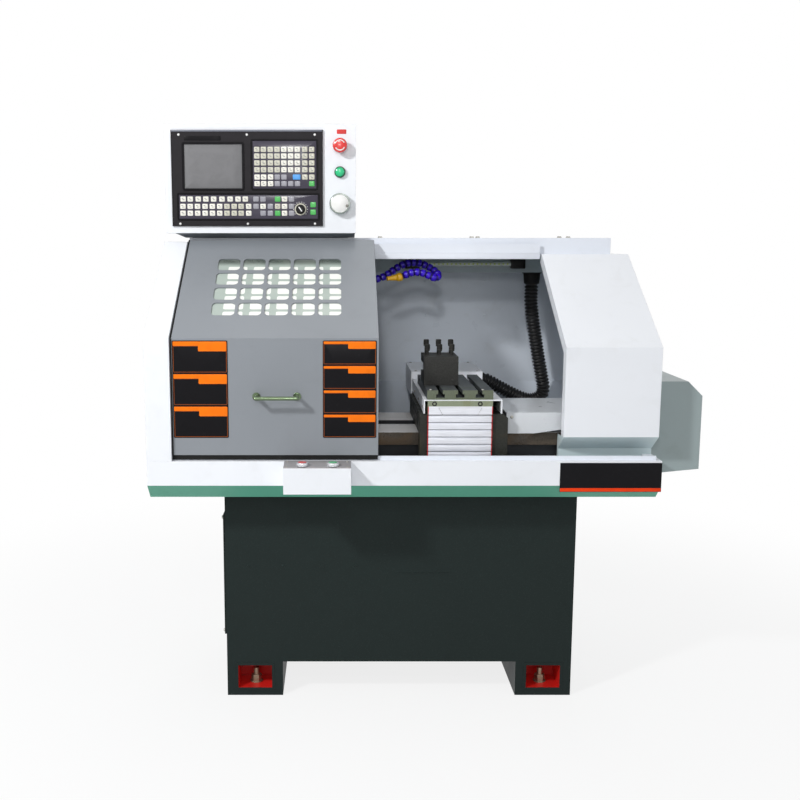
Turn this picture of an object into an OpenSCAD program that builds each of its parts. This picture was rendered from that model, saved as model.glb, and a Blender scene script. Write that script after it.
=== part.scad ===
// Compact CNC bench lathe on a sheet-steel stand, in millimetres.
// +X runs towards the tail end, +Y towards the back and +Z up.
// Modules are drawn from the tray's middle (x = 0), the fascia's front (y = 0) and the floor (z = 0).
// placed() then moves the origin to the middle of the whole machine's footprint.

/* [Tray] */
// Length of the splash tray
tray_l = 1300; // [1080:10:1560]
// Depth of the splash tray, front to back
tray_d = 740; // [700:10:890]
// Height of the tray's underside above the floor
tray_z = 621; // [520:1:750]
// Height of the tray's fascia
fascia_h = 63; // [52:1:76]
// Width of the lip folded in along the tray's rim
lip_w = 22; // [10:1:24]
// Height of the tapered frame under the tray
skirt_h = 39; // [30:1:60]
// Thickness of the enclosure's sheet metal
sheet_t = 3; // [2:0.5:4]
// Radius of the tray's drain
drain_r = 25; // [15:1:35]

/* [Stand] */
// Width of the stand
stand_w = 940; // [860:10:1060]
// Depth of the stand
stand_d = 480; // [440:10:600]
// Distance of the stand's face behind the fascia
stand_set = 130; // [60:5:150]
// Thickness of the stand's plate
stand_t = 4; // [3:0.5:6]
// Width of a runner foot
foot_w = 152; // [130:1:190]
// Height of a runner foot
foot_h = 97; // [90:1:120]
// Width of a foot pocket
pocket_w = 100; // [80:1:120]
// Height of a foot pocket
pocket_h = 72; // [50:1:75]
// Depth of a foot pocket
pocket_d = 90; // [70:1:120]
// Height of a pocket's sill
pocket_sill = 18; // [12:1:20]
// Radius of a levelling bolt
level_r = 8; // [6:0.5:10]
// Length of a levelling bolt
level_l = 62; // [45:1:80]

/* [Bed] */
// Length of the bed
bed_l = 1160; // [1000:10:1200]
// Distance of the bed's front behind the fascia
bed_set = 112; // [105:1:125]
// Width of the front way
front_way_w = 121; // [100:1:130]
// Width of the rear way
rear_way_w = 129; // [100:1:140]
// Gap between the ways
way_gap = 64; // [60:1:80]
// Height of the bed above the tray's floor
bed_h = 114; // [105:1:130]
// Height of a way's flange
way_h = 34; // [28:1:40]
// Thickness of the bed's webs
web_t = 22; // [16:1:30]

/* [Headstock and spindle] */
// Height of the spindle above the ways
centre_h = 160; // [150:1:185]
// Length of the headstock
head_l = 260; // [220:5:300]
// Wall of the headstock casting
head_wall = 25; // [18:1:32]
// Radius of the spindle's journals
spindle_r = 30; // [26:0.5:36]
// Radius of the bore through the spindle
spindle_bore_r = 19; // [12:0.5:22]
// Radius of the spindle bearings
bearing_r = 45; // [40:0.5:52]
// Radius of the chuck
chuck_r = 80; // [65:1:96]
// Length of the chuck body
chuck_l = 70; // [58:1:84]
// Width of a chuck jaw
jaw_w = 16; // [12:0.5:20]
// Radius of the spindle pulley
spindle_pulley_r = 70; // [60:1:80]
// Radius of the motor pulley
motor_pulley_r = 45; // [36:1:54]
// Radius of the spindle motor
motor_r = 80; // [70:1:90]

/* [Carriage] */
// Distance from the tray's middle to the saddle's left side
saddle_x = 43; // [30:1:50]
// Width of the saddle
saddle_w = 226; // [210:1:240]
// Distance of the saddle's apron behind the fascia
saddle_set = 62; // [60:1:66]
// Thickness of the saddle over the ways
saddle_t = 56; // [50:1:66]
// Width of the dovetail's foot
dovetail_w = 90; // [80:1:110]
// Height of the dovetail
dovetail_h = 18; // [15:1:22]
// Height of the cross slide under its guard
slide_h = 35; // [30:1:42]
// Width of the T-slotted table
table_w = 169; // [150:1:180]
// Depth of the T-slotted table
table_d = 317; // [260:1:320]
// Thickness of the T-slotted table
table_t = 24; // [22:1:28]
// Width of a T-slot's neck
slot_w = 12; // [8:0.5:14]
// Width of a T-slot's head
slot_head_w = 22; // [18:0.5:26]
// Width of the slide's guard
guard_w = 201; // [195:1:204]
// Width of the tool block
block_w = 90; // [75:1:100]
// Depth of the tool block
block_d = 110; // [95:1:125]
// Height of the tool block
block_h = 76; // [66:1:90]
// Height of the tool slot
tool_slot_h = 26; // [20:1:30]
// Radius of a clamp bolt
clamp_r = 5; // [4:0.5:6]
// Length of the way cover
way_cover_l = 261; // [220:1:262]
// Radius of the Z ball screw
z_screw_r = 12.5; // [10:0.5:16]
// Radius of the X ball screw
x_screw_r = 8; // [6:0.5:10]
// Side of the feed motors
feed_motor_w = 80; // [60:1:84]

/* [Enclosure] */
// Height of the fold in the left housing's face above the rim
fold_h = 312; // [260:1:360]
// Slope of the housings' upper faces
slope_a = 33.2; // [28:0.1:38]
// Distance of the roof's face behind the fascia
roof_set = 405; // [395:1:430]
// Height of the roof box
roof_h = 52; // [40:1:60]
// Width of the left housing
left_w = 63; // [60:1:90]
// Width of the right housing
right_w = 243; // [200:1:260]
// Distance of the right housing's face behind the fascia
guard_set = 36; // [34:1:44]
// Length of the guard over the headstock and the chuck
guard_l = 467; // [450:1:480]
// Length of the roof
roof_l = 1192; // [1150:1:1200]

/* [Door] */
// Width of the sliding door
door_w = 520; // [480:1:522]
// Distance of the door's face behind the fascia
door_set = 10; // [8:1:12]
// Depth of the door's folded edges
door_fold = 20; // [14:1:22]
// Width of a window hole
hole_w = 60; // [40:1:62]
// Height of a window hole
hole_h = 54; // [40:1:58]
// Distance between window holes, side to side
hole_pitch_x = 68.5; // [64:0.5:72]
// Distance between window holes, up the slope
hole_pitch_s = 67; // [62:0.5:70]
// Width of the handle between its legs
handle_w = 102; // [80:1:160]

/* [Control] */
// Width of the console
console_w = 526; // [500:1:560]
// Height of the console
console_h = 295; // [285:1:330]
// Depth of the console
console_d = 120; // [100:1:150]
// Width of the control unit's face
unit_w = 417; // [400:1:420]
// Height of the control unit's face
unit_h = 260; // [240:1:264]
// Radius of the emergency stop's head
estop_r = 20; // [16:0.5:22]
// Radius of the handwheel
wheel_r = 29; // [24:1:34]
// Depth of the button box
button_box_d = 60; // [50:1:80]
// Width of the button box
button_box_w = 168; // [140:1:200]
// Width of the electrical cabinet
cabinet_w = 560; // [480:10:640]
// Height of the electrical cabinet
cabinet_h = 480; // [400:10:540]
// Depth of the electrical cabinet
cabinet_d = 180; // [150:5:240]
// Width of the end box over the Z motor
end_box_w = 132; // [128:1:160]

/* [Hidden] */

$fn = 48;
// Small overlap that lets a cut run past the face it starts on
cut = 1;
// Clearance between neighbouring pieces on different bodies
gap = 0.3;
// Radial clearance of a shaft that turns in its bore
run_gap = 0.08;
// Distance that keeps two sheets from rubbing
seat_gap = 0.05;

// Levels of the stand, the tray and the bed
stand_top = tray_z - skirt_h;
tray_floor = tray_z + sheet_t;
rim_z = tray_z + fascia_h;
bed_top = tray_floor + bed_h;
x_left = -tray_l / 2;
x_right = tray_l / 2;

// Places along the bed
bed_x = x_left + 90;
bed_d = front_way_w + way_gap + rear_way_w;
axis_y = bed_set + front_way_w + way_gap / 2;
spindle_z = bed_top + centre_h;
z_screw_z = bed_top - 26;
head_x1 = bed_x + head_l;

// Enclosure: each face lies inside the left housing's by a set-back and a perpendicular inset of its slope
fold_z = rim_z + fold_h;
door_inset = 7;
guard_inset = 43;
roof_z = fold_z + round(roof_set * tan(slope_a)) - 19;
housing_y1 = 360;
door_y1 = roof_set - 25;
guard_y1 = roof_set - 20;
facet_z = rim_z + 55;
facet_y = guard_set + 57;
facet_foot_z = rim_z + 15;
right_x = x_right - right_w;
guard_x = x_left + left_w;
duct_h = 51;
duct_y = tray_d - 122;

// Height of a face's slope at depth y, for a perpendicular inset s
function slope_z(y, s) = fold_z + y * tan(slope_a) - s / cos(slope_a);

// Section of a bent sheet from z0 up over the fold to y1: set-back f, inset s, thickness t
function bent_sheet(f, s, z0, y1, t) = [
    [f, z0], [f, slope_z(f, s)], [y1, slope_z(y1, s)],
    [y1, slope_z(y1, s + t)], [f + t, slope_z(f + t, s + t)], [f + t, z0]];

// Carriage
saddle_top = bed_top + saddle_t;
saddle_x1 = saddle_x + saddle_w;
slide_x = saddle_x + 102;
slide_z0 = saddle_top + gap;
slide_top = saddle_top + slide_h;
guard_t = 3;
table_z = slide_top + guard_t;
table_top = table_z + table_t;
table_y = saddle_set - 2;
x_screw_z = saddle_top - 19;
trough_w = 46;
saddle_rear = saddle_set + 458;
motor_cover_x = slide_x - 97;
motor_cover_w = guard_w + 8;
motor_cover_y = table_y + table_d + 74;
motor_cover_d = 246;
block_x = slide_x - table_w / 2 - 0.5;
block_y = table_y + 92;

// Door
door_x = guard_x + 1;
door_z0 = rim_z + 14;
window_up = 94;
window_x = door_x + 93;
rail_y = 18;
rail_w = 4;
rail_h = 10;
top_rail_z = roof_z - 39;

// Console and its controls
console_x = x_left + 6;
console_y = 358;
console_z = roof_z + 13;
console_x1 = console_x + console_w;
unit_x = console_x + 18;
unit_z = console_z + 19;
unit_y = console_y - 6;
control_x = console_x1 - 44;
estop_z = console_z + 236;
start_z = console_z + 166;
wheel_z = console_z + 80;
knob_x = unit_x + 355;
knob_z = unit_z + 46;
button_box_x = x_left + 347;
button_box_h = 66;
button_box_z = rim_z - 71;
button_y = -42;
stop_x = button_box_x + 47;
run_x = button_box_x + 123;
stem_r = 8;

// Back and end boxes
cabinet_x = x_left + 170;
cabinet_z = rim_z + 16;
cabinet_y1 = tray_d + cabinet_d;
cabinet_door_t = 3;
hinge_r = 7;
hinge_pin_r = 4;
hinge_x = cabinet_x - hinge_r - 0.5;
hinge_y = cabinet_y1 + gap + cabinet_door_t / 2;
hinge_up = [80, cabinet_h - 125];
end_box_y = 110;
end_box_d = 310;
end_box_z = rim_z - 44;
end_box_h = 232;
end_chamfer = 38;

// Footprint of the whole machine, from the button box to the electrical cabinet's hinges
x_min = x_left;
x_max = x_right + end_box_w;
y_min = -button_box_d;
y_max = hinge_y + hinge_r;

// Route of the cable conduit in the plane y = conduit_y, from its cuff to the X-motor cover
conduit_y = 652;
conduit_r = 21;
conduit_route = [[431, 1104], [431, 1080], [431, 1050], [435, 1015], [441, 975], [449, 930], [457, 885],
    [466, 840], [473, 805], [477, 780], [472, 758], [455, 745], [430, 742], [400, 751], [365, 768],
    [330, 787], [307, 799], [290, 806], [270, 806]];
cuff_x = 431;
gland_z = saddle_top + 12;
gland_l = 12;

// Route of the coolant hose, from its fitting under the roof to its nozzle
hose_r = 9;
hose_route = [[-110, 470, 1168], [-110, 470, 1152], [-102, 470, 1135], [-84, 470, 1124], [-66, 470, 1122],
    [-48, 470, 1126], [-30, 470, 1133], [-14, 470, 1144], [2, 470, 1155], [20, 470, 1165], [40, 470, 1171],
    [60, 470, 1171], [80, 470, 1166], [98, 467, 1158], [114, 460, 1147], [122, 448, 1137], [118, 436, 1130],
    [106, 428, 1130], [90, 425, 1137], [74, 424, 1143], [56, 424, 1145], [38, 424, 1142], [20, 424, 1135],
    [4, 424, 1131], [-14, 424, 1129], [-34, 424, 1127]];

// A YZ section extruded along X from x0
module along_x(x0, w) {
    translate([x0, 0, 0]) rotate([90, 0, 90]) linear_extrude(w) children();
}

// An XZ section extruded along Y from y0
module along_y(y0, d) {
    translate([0, y0 + d, 0]) rotate([90, 0, 0]) linear_extrude(d) children();
}

// A box given by its lowest corner and its size
module block(at, size) {
    translate(at) cube(size);
}

// A round rod along X
module rod_x(x0, l, r, y, z) {
    translate([x0, y, z]) rotate([0, 90, 0]) cylinder(h = l, r = r);
}

// A round rod along Y
module rod_y(y0, l, r, x, z) {
    translate([x, y0 + l, z]) rotate([90, 0, 0]) cylinder(h = l, r = r);
}

// A flat rounded rectangle from the origin
module rounded(w, h, r) {
    translate([r, 0]) square([w - 2 * r, h]);
    translate([0, r]) square([w, h - 2 * r]);
    for (x = [r, w - r], y = [r, h - r]) translate([x, y]) circle(r);
}

// A tube swept along a route of points, with rings of n sides set square to it
SWEEP_REF = [0.27, 0.53, 0.8];
function unit(v) = v / norm(v);
function way(p, i) = unit(p[min(i + 1, len(p) - 1)] - p[max(i - 1, 0)]);
function ring_u(p, i) = unit(cross(way(p, i), SWEEP_REF));
function ring_v(p, i) = cross(way(p, i), ring_u(p, i));
module sweep(p, r, n) {
    points = [for (i = [0 : len(p) - 1], k = [0 : n - 1])
        p[i] + r * (cos(360 * k / n) * ring_u(p, i) + sin(360 * k / n) * ring_v(p, i))];
    sides = [for (i = [0 : len(p) - 2], k = [0 : n - 1], half = [0, 1]) let (m = (k + 1) % n)
        half == 0 ? [i * n + k, (i + 1) * n + k, (i + 1) * n + m] : [i * n + k, (i + 1) * n + m, i * n + m]];
    first = [[for (k = [0 : n - 1]) k]];
    last = [[for (k = [0 : n - 1]) (len(p) - 1) * n + n - 1 - k]];
    polyhedron(points, concat(sides, first, last));
}

// ---- Stand ----

// The middle of the foot pocket on a side, -1 or 1
function pocket_x(side) = side * (stand_w / 2 - foot_w / 2);

module base_cabinet() {
    color([0.13, 0.17, 0.16]) difference() {
        union() {
            block([-stand_w / 2, stand_set, foot_h], [stand_w, stand_d, stand_top - foot_h]);
            for (side = [-1, 1])
                block([pocket_x(side) - foot_w / 2, stand_set, 0], [foot_w, stand_d, foot_h]);
        }
        block([-stand_w / 2 + stand_t, stand_set + stand_t, foot_h + stand_t],
            [stand_w - 2 * stand_t, stand_d - 2 * stand_t, stand_top - foot_h - 2 * stand_t]);
        // Window in the top plate
        block([-stand_w / 2 + 50, stand_set + 50, stand_top - stand_t - cut],
            [stand_w - 100, stand_d - 100, stand_t + 2 * cut]);
        for (side = [-1, 1]) {
            block([pocket_x(side) - foot_w / 2 + stand_t, stand_set + stand_t, stand_t],
                [foot_w - 2 * stand_t, stand_d - 2 * stand_t, foot_h - stand_t]);
            block([pocket_x(side) - pocket_w / 2 - gap, stand_set - cut, pocket_sill - gap],
                [pocket_w + 2 * gap, stand_d + 2 * cut, pocket_h + 2 * gap]);
            for (y = [stand_set + pocket_d / 2, stand_set + stand_d - pocket_d / 2])
                translate([pocket_x(side), y, -cut]) cylinder(h = stand_t + 2 * cut, r = level_r + gap);
            // Access opening in the side wall
            block([side * (stand_w / 2 - stand_t / 2) - stand_t, stand_set + 95, foot_h + 75],
                [2 * stand_t, stand_d - 190, stand_top - foot_h - 190]);
        }
    }
}

// One pocket liner, open to the front, with its mouth at y = 0
module pocket_liner() {
    difference() {
        block([-pocket_w / 2, 0, pocket_sill], [pocket_w, pocket_d, pocket_h]);
        block([-pocket_w / 2 + stand_t, -cut, pocket_sill + stand_t],
            [pocket_w - 2 * stand_t, pocket_d - stand_t + cut, pocket_h - 2 * stand_t]);
        translate([0, pocket_d / 2, 0]) cylinder(h = pocket_sill + 2 * stand_t, r = level_r + gap);
    }
}

// The four foot places, each turned to open outwards
module at_feet() {
    for (side = [-1, 1]) {
        translate([pocket_x(side), stand_set, 0]) children();
        translate([pocket_x(side), stand_set + stand_d, 0]) rotate([0, 0, 180]) children();
    }
}

module foot_pockets() {
    color([0.62, 0.08, 0.08]) at_feet() pocket_liner();
}

module levelling_bolts() {
    nut_z = pocket_sill + stand_t;
    color([0.45, 0.43, 0.4]) at_feet() translate([0, pocket_d / 2, 0]) {
        cylinder(h = level_l, r = level_r);
        translate([0, 0, nut_z]) difference() {
            cylinder(h = 13, r = 14, $fn = 6);
            translate([0, 0, -cut]) cylinder(h = 13 + 2 * cut, r = level_r);
        }
    }
}

module access_panels() {
    color([0.16, 0.21, 0.2]) for (x = [-stand_w / 2 - stand_t, stand_w / 2])
        block([x, stand_set + 70, foot_h + 50], [stand_t, stand_d - 140, stand_top - foot_h - 140]);
}

tank_w = 480;
tank_d = stand_d - 130;
tank_h = 210;
tank_z = foot_h + stand_t;
tank_y = stand_set + 65;
pump_x = tank_w / 2 - 85;
pump_y = tank_y + tank_d / 2;

module coolant_tank() {
    color([0.5, 0.55, 0.58]) difference() {
        block([-tank_w / 2, tank_y, tank_z], [tank_w, tank_d, tank_h]);
        block([-tank_w / 2 + sheet_t, tank_y + sheet_t, tank_z + sheet_t],
            [tank_w - 2 * sheet_t, tank_d - 2 * sheet_t, tank_h - 2 * sheet_t]);
        // Open mouth under the drain, beside the pump's lid
        block([-tank_w / 2 + 20, tank_y + 20, tank_z + tank_h - sheet_t - cut],
            [tank_w - 210, tank_d - 40, sheet_t + 2 * cut]);
        translate([pump_x, pump_y, tank_z + tank_h - sheet_t - cut]) cylinder(h = sheet_t + 2 * cut, r = 40);
    }
}

module coolant_pump() {
    lid_z = tank_z + tank_h;
    color([0.2, 0.35, 0.3]) translate([pump_x, pump_y, 0]) {
        translate([0, 0, lid_z - 150]) cylinder(h = 150, r = 36);
        translate([0, 0, lid_z]) cylinder(h = 8, r = 68);
        translate([0, 0, lid_z + 8]) cylinder(h = 112, r = 50);
        translate([0, 0, lid_z + 120]) cylinder(h = 14, r = 54);
    }
}

// ---- Tray ----

module splash_tray() {
    color([0.93, 0.94, 0.96]) difference() {
        block([x_left, 0, tray_z], [tray_l, tray_d, fascia_h]);
        block([x_left + sheet_t, sheet_t, tray_floor],
            [tray_l - 2 * sheet_t, tray_d - 2 * sheet_t, fascia_h - 2 * sheet_t]);
        block([x_left + sheet_t + lip_w, sheet_t + lip_w, tray_floor],
            [tray_l - 2 * (sheet_t + lip_w), tray_d - 2 * (sheet_t + lip_w), fascia_h]);
        translate([0, bed_set + bed_d + 60, tray_z - cut]) cylinder(h = sheet_t + 2 * cut, r = drain_r);
    }
}

module tray_skirt() {
    taper = 40;
    rib_w = 60;
    color([0.31, 0.57, 0.46]) difference() {
        union() {
            difference() {
                along_x(x_left, tray_l) polygon([[0, tray_z], [taper, stand_top],
                    [tray_d - taper, stand_top], [tray_d, tray_z]]);
                along_x(x_left + sheet_t, tray_l - 2 * sheet_t) polygon([[4, tray_z + cut], [4, tray_z],
                    [taper + 2, stand_top + sheet_t], [tray_d - taper - 2, stand_top + sheet_t],
                    [tray_d - 4, tray_z], [tray_d - 4, tray_z + cut]]);
            }
            // Bearers that carry the bed through the tray's floor
            for (x = [-stand_w / 2, -rib_w / 2 - 120, stand_w / 2 - rib_w])
                block([x, bed_set, stand_top], [rib_w, bed_d, skirt_h]);
        }
        translate([0, bed_set + bed_d + 60, stand_top - cut])
            cylinder(h = sheet_t + 2 * cut, r = drain_r + 2);
    }
}

module bed() {
    base_h = 16;
    end_w = 25;
    web_y = [bed_set + 18, bed_set + bed_d - 18 - web_t];
    rear_y = bed_set + front_way_w + way_gap;
    color([0.42, 0.4, 0.37]) difference() {
        union() {
            block([bed_x, bed_set, bed_top - way_h], [bed_l, front_way_w, way_h]);
            block([bed_x, rear_y, bed_top - way_h], [bed_l, rear_way_w, way_h]);
            for (y = web_y) block([bed_x, y, tray_floor], [bed_l, web_t, bed_h - way_h]);
            block([bed_x, bed_set, tray_floor], [bed_l, bed_d, base_h]);
            for (x = [bed_x, bed_x + bed_l - end_w])
                block([x, web_y[0], tray_floor], [end_w, web_y[1] - web_y[0] + web_t, bed_h]);
        }
        rod_x(bed_x - cut, bed_l + 2 * cut, z_screw_r + run_gap, axis_y, z_screw_z);
        // Chip windows in the base
        for (i = [0 : 4]) block([head_x1 + 60 + i * 150, web_y[0] + web_t + 15, tray_floor - cut],
            [110, web_y[1] - web_y[0] - web_t - 30, base_h + 2 * cut]);
    }
}

// ---- Headstock, spindle and chuck ----

pulley_x = x_left + 20;
pulley_w = 35;
pulley_gap = 25;
nose_l = 14;
nose_x = head_x1 + 1;
chuck_x = nose_x + nose_l;
motor_y = 560;
motor_z = tray_floor + 176;
motor_shaft_r = 12;
motor_x = bed_x + 20;
spindle_tail_r = 26;

module headstock() {
    wall = 18;
    head_y = axis_y - 160;
    head_d = 320;
    head_h = centre_h + 102;
    color([0.5, 0.56, 0.55]) difference() {
        block([bed_x, head_y, bed_top], [head_l, head_d, head_h]);
        block([bed_x + head_wall, head_y + wall, bed_top - cut],
            [head_l - 2 * head_wall, head_d - 2 * wall, head_h - wall + cut]);
        rod_x(bed_x - cut, head_l + 2 * cut, bearing_r, axis_y, spindle_z);
    }
}

module spindle_bearings() {
    color([0.7, 0.71, 0.73]) for (x = [bed_x, head_x1 - head_wall]) difference() {
        rod_x(x, head_wall, bearing_r, axis_y, spindle_z);
        rod_x(x - cut, head_wall + 2 * cut, spindle_r + run_gap, axis_y, spindle_z);
    }
}

module spindle() {
    tail_x = pulley_x;
    color([0.72, 0.73, 0.75]) difference() {
        union() {
            rod_x(tail_x, bed_x - pulley_gap - tail_x, spindle_tail_r, axis_y, spindle_z);
            rod_x(bed_x - pulley_gap, nose_x - bed_x + pulley_gap, spindle_r, axis_y, spindle_z);
            rod_x(nose_x, nose_l, spindle_r + 25, axis_y, spindle_z);
        }
        rod_x(tail_x - cut, chuck_x - tail_x + 2 * cut, spindle_bore_r, axis_y, spindle_z);
    }
}

module spindle_pulley() {
    color([0.35, 0.36, 0.38]) difference() {
        rod_x(pulley_x, pulley_w, spindle_pulley_r, axis_y, spindle_z);
        rod_x(pulley_x - cut, pulley_w + 2 * cut, spindle_tail_r, axis_y, spindle_z);
    }
}

module motor_pulley() {
    color([0.35, 0.36, 0.38]) {
        rod_x(pulley_x, pulley_w, motor_pulley_r, motor_y, motor_z);
        rod_x(pulley_x + pulley_w, motor_x + 40 - pulley_x - pulley_w, motor_shaft_r, motor_y, motor_z);
    }
}

module drive_belt() {
    belt_t = 8;
    color([0.08, 0.08, 0.08]) along_x(pulley_x + 5, pulley_w - 10) difference() {
        hull() {
            translate([axis_y, spindle_z]) circle(spindle_pulley_r + gap + belt_t);
            translate([motor_y, motor_z]) circle(motor_pulley_r + gap + belt_t);
        }
        hull() {
            translate([axis_y, spindle_z]) circle(spindle_pulley_r + gap);
            translate([motor_y, motor_z]) circle(motor_pulley_r + gap);
        }
    }
}

module spindle_motor() {
    motor_l = 210;
    color([0.3, 0.42, 0.5]) difference() {
        union() {
            rod_x(motor_x, motor_l, motor_r, motor_y, motor_z);
            rod_x(motor_x + motor_l, 22, motor_r - 6, motor_y, motor_z);
            block([motor_x + 25, motor_y - 50, tray_floor], [motor_l - 50, 85, motor_z - tray_floor]);
            block([motor_x + 60, motor_y - 45, motor_z + motor_r - 12], [90, 80, 45]);
        }
        rod_x(motor_x - cut, 60, motor_shaft_r + run_gap, motor_y, motor_z);
    }
}

jaw_r0 = 30;
jaw_base = 21;

module chuck_body() {
    color([0.55, 0.56, 0.58]) difference() {
        rod_x(chuck_x, chuck_l, chuck_r, axis_y, spindle_z);
        rod_x(chuck_x - cut, chuck_l + 2 * cut, spindle_bore_r, axis_y, spindle_z);
        for (i = [0 : 2]) translate([chuck_x + chuck_l - jaw_base - gap, axis_y, spindle_z])
            rotate([120 * i, 0, 0]) block([0, -jaw_w / 2 - gap, 0],
                [jaw_base + gap + cut, jaw_w + 2 * gap, chuck_r + cut]);
    }
}

// One stepped jaw, turned by a about the spindle
module jaw(a) {
    color([0.62, 0.63, 0.65]) translate([chuck_x + chuck_l, axis_y, spindle_z]) rotate([a, 0, 0]) {
        block([-jaw_base, -jaw_w / 2, jaw_r0], [jaw_base, jaw_w, chuck_r - jaw_r0 - 6]);
        block([0, -jaw_w / 2, jaw_r0], [28, jaw_w, 14]);
        block([0, -jaw_w / 2, jaw_r0 + 14], [16, jaw_w, 20]);
    }
}

module jaw_1() { jaw(0); }
module jaw_2() { jaw(120); }
module jaw_3() { jaw(240); }

// ---- Carriage ----

module saddle() {
    apron_d = bed_set - saddle_set - 4;
    apron_z = tray_floor + 16;
    z0 = bed_top + gap;
    nut_w = 46;
    wall = 18;
    right_chamfer = 10;
    color([0.24, 0.23, 0.2]) difference() {
        union() {
            along_y(saddle_set, bed_set + bed_d - saddle_set) polygon([[saddle_x, z0], [saddle_x1, z0],
                [saddle_x1, saddle_top - right_chamfer], [saddle_x1 - right_chamfer, saddle_top],
                [saddle_x, saddle_top]]);
            block([saddle_x, saddle_set, apron_z], [saddle_w, apron_d, z0 - apron_z + cut]);
            // Rear arm that carries the X motor and its cover
            block([slide_x - 60, bed_set + bed_d - cut, z0],
                [120, saddle_rear - bed_set - bed_d + cut, saddle_t - gap]);
            block([motor_cover_x + sheet_t + gap, saddle_rear - 20, saddle_top - 12],
                [motor_cover_w - 2 * sheet_t - 2 * gap, 20, 12]);
            along_y(saddle_set + wall, bed_set + bed_d - saddle_set - wall) polygon([
                [slide_x - dovetail_w / 2, saddle_top - cut], [slide_x - dovetail_w / 2, saddle_top],
                [slide_x - dovetail_w / 2 - 10, saddle_top + dovetail_h],
                [slide_x + dovetail_w / 2 + 10, saddle_top + dovetail_h],
                [slide_x + dovetail_w / 2, saddle_top], [slide_x + dovetail_w / 2, saddle_top - cut]]);
            // Lug for the Z nut, between the ways
            block([slide_x - 35, axis_y - nut_w / 2, z_screw_z - z_screw_r - 10],
                [70, nut_w, bed_top - z_screw_z + z_screw_r + 10 + gap + cut]);
        }
        block([slide_x - trough_w / 2, saddle_set + wall, x_screw_z - x_screw_r - 15],
            [trough_w, saddle_rear - saddle_set - 2 * wall, 80]);
        rod_y(saddle_set + 6, saddle_rear - saddle_set, x_screw_r + run_gap, slide_x, x_screw_z);
        rod_x(slide_x - 40, 80, z_screw_r + run_gap, axis_y, z_screw_z);
    }
}

module way_cover() {
    y0 = 88;
    y1 = 338;
    z0 = bed_top + 1;
    z1 = saddle_top;
    color([0.93, 0.94, 0.95]) difference() {
        along_y(y0, y1 - y0) polygon([[saddle_x1, z0], [saddle_x1 + 73, z0],
            [saddle_x1 + way_cover_l, z0 + 27], [saddle_x1 + way_cover_l, z1], [saddle_x1, z1]]);
        block([saddle_x1 - cut, y0 + sheet_t, z0 - cut],
            [way_cover_l + 2 * cut, y1 - y0 - 2 * sheet_t, z1 - z0 - sheet_t + cut]);
    }
}

module x_motor() {
    l = 110;
    w = feed_motor_w;
    color([0.12, 0.12, 0.13]) difference() {
        union() {
            block([slide_x - w / 2, saddle_rear, x_screw_z - w / 2], [w, l, w]);
            block([slide_x - 18, saddle_rear + l, x_screw_z - 25], [36, 24, 40]);
        }
        rod_y(saddle_rear - cut, 34, x_screw_r + run_gap, slide_x, x_screw_z);
    }
}

module x_motor_cover() {
    z0 = saddle_top - 12;
    z1 = table_top - 1;
    lintel = 22;
    color([0.92, 0.93, 0.94]) {
        difference() {
            block([motor_cover_x, motor_cover_y, z0], [motor_cover_w, motor_cover_d, z1 - z0]);
            block([motor_cover_x + sheet_t, motor_cover_y + sheet_t, z0 - cut],
                [motor_cover_w - 2 * sheet_t, motor_cover_d - 2 * sheet_t, z1 - z0 - sheet_t + cut]);
            // Mouth that the slide's guard runs into
            block([motor_cover_x + sheet_t, motor_cover_y - cut, z0 - cut],
                [motor_cover_w - 2 * sheet_t, sheet_t + 2 * cut, z1 - z0 - lintel + cut]);
        }
        // Gland boss that the conduit ends on
        rod_x(motor_cover_x + motor_cover_w, gland_l, conduit_r + 4, conduit_y, gland_z);
    }
}

module z_screw() {
    journal_r = 8;
    color([0.6, 0.6, 0.6]) {
        rod_x(bed_x + 2, bed_l - 4, z_screw_r, axis_y, z_screw_z);
        rod_x(bed_x + bed_l - 2, x_right + 40 - bed_x - bed_l + 2, journal_r, axis_y, z_screw_z);
    }
}

module x_screw() {
    y0 = saddle_set + 8;
    color([0.62, 0.62, 0.62]) rod_y(y0, saddle_rear + 30 - y0, x_screw_r, slide_x, x_screw_z);
}

module z_motor() {
    w = feed_motor_w;
    color([0.12, 0.12, 0.13]) difference() {
        union() {
            block([x_right, axis_y - w / 2 - 5, z_screw_z - w / 2 - 5], [8, w + 10, w + 10]);
            block([x_right + 8, axis_y - w / 2, z_screw_z - w / 2], [96, w, w]);
        }
        rod_x(x_right - cut, 44, 8 + run_gap, axis_y, z_screw_z);
    }
}

// ---- Cross slide ----

module apron() {
    w = table_w - 3;
    z0 = tray_floor + 16;
    color([0.86, 0.87, 0.89]) block([slide_x - w / 2, saddle_set - 8, z0], [w, 8, saddle_top - 2 - z0]);
}

module slide_base() {
    w = table_w - 3;
    foot = dovetail_w / 2 + gap;
    front = saddle_set - 8;
    nut_w = 34;
    nut_l = 50;
    nut_y = saddle_set + 138;
    nut_z = x_screw_z - 18;
    color([0.5, 0.56, 0.44]) difference() {
        union() {
            block([slide_x - w / 2, front, slide_z0], [w, table_d + 6, slide_top - slide_z0]);
            block([slide_x - nut_w / 2, nut_y, nut_z], [nut_w, nut_l, slide_z0 - nut_z + 12]);
        }
        difference() {
            along_y(front - cut, table_d + 6 + 2 * cut) polygon([[slide_x - foot, slide_z0 - cut],
                [slide_x - foot, saddle_top + gap], [slide_x - foot - 10 - gap, saddle_top + dovetail_h + gap],
                [slide_x + foot + 10 + gap, saddle_top + dovetail_h + gap], [slide_x + foot, saddle_top + gap],
                [slide_x + foot, slide_z0 - cut]]);
            block([slide_x - nut_w / 2, nut_y, nut_z], [nut_w, nut_l, 60]);
        }
        rod_y(nut_y - cut, nut_l + 2 * cut, x_screw_r + run_gap, slide_x, x_screw_z);
    }
}

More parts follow.
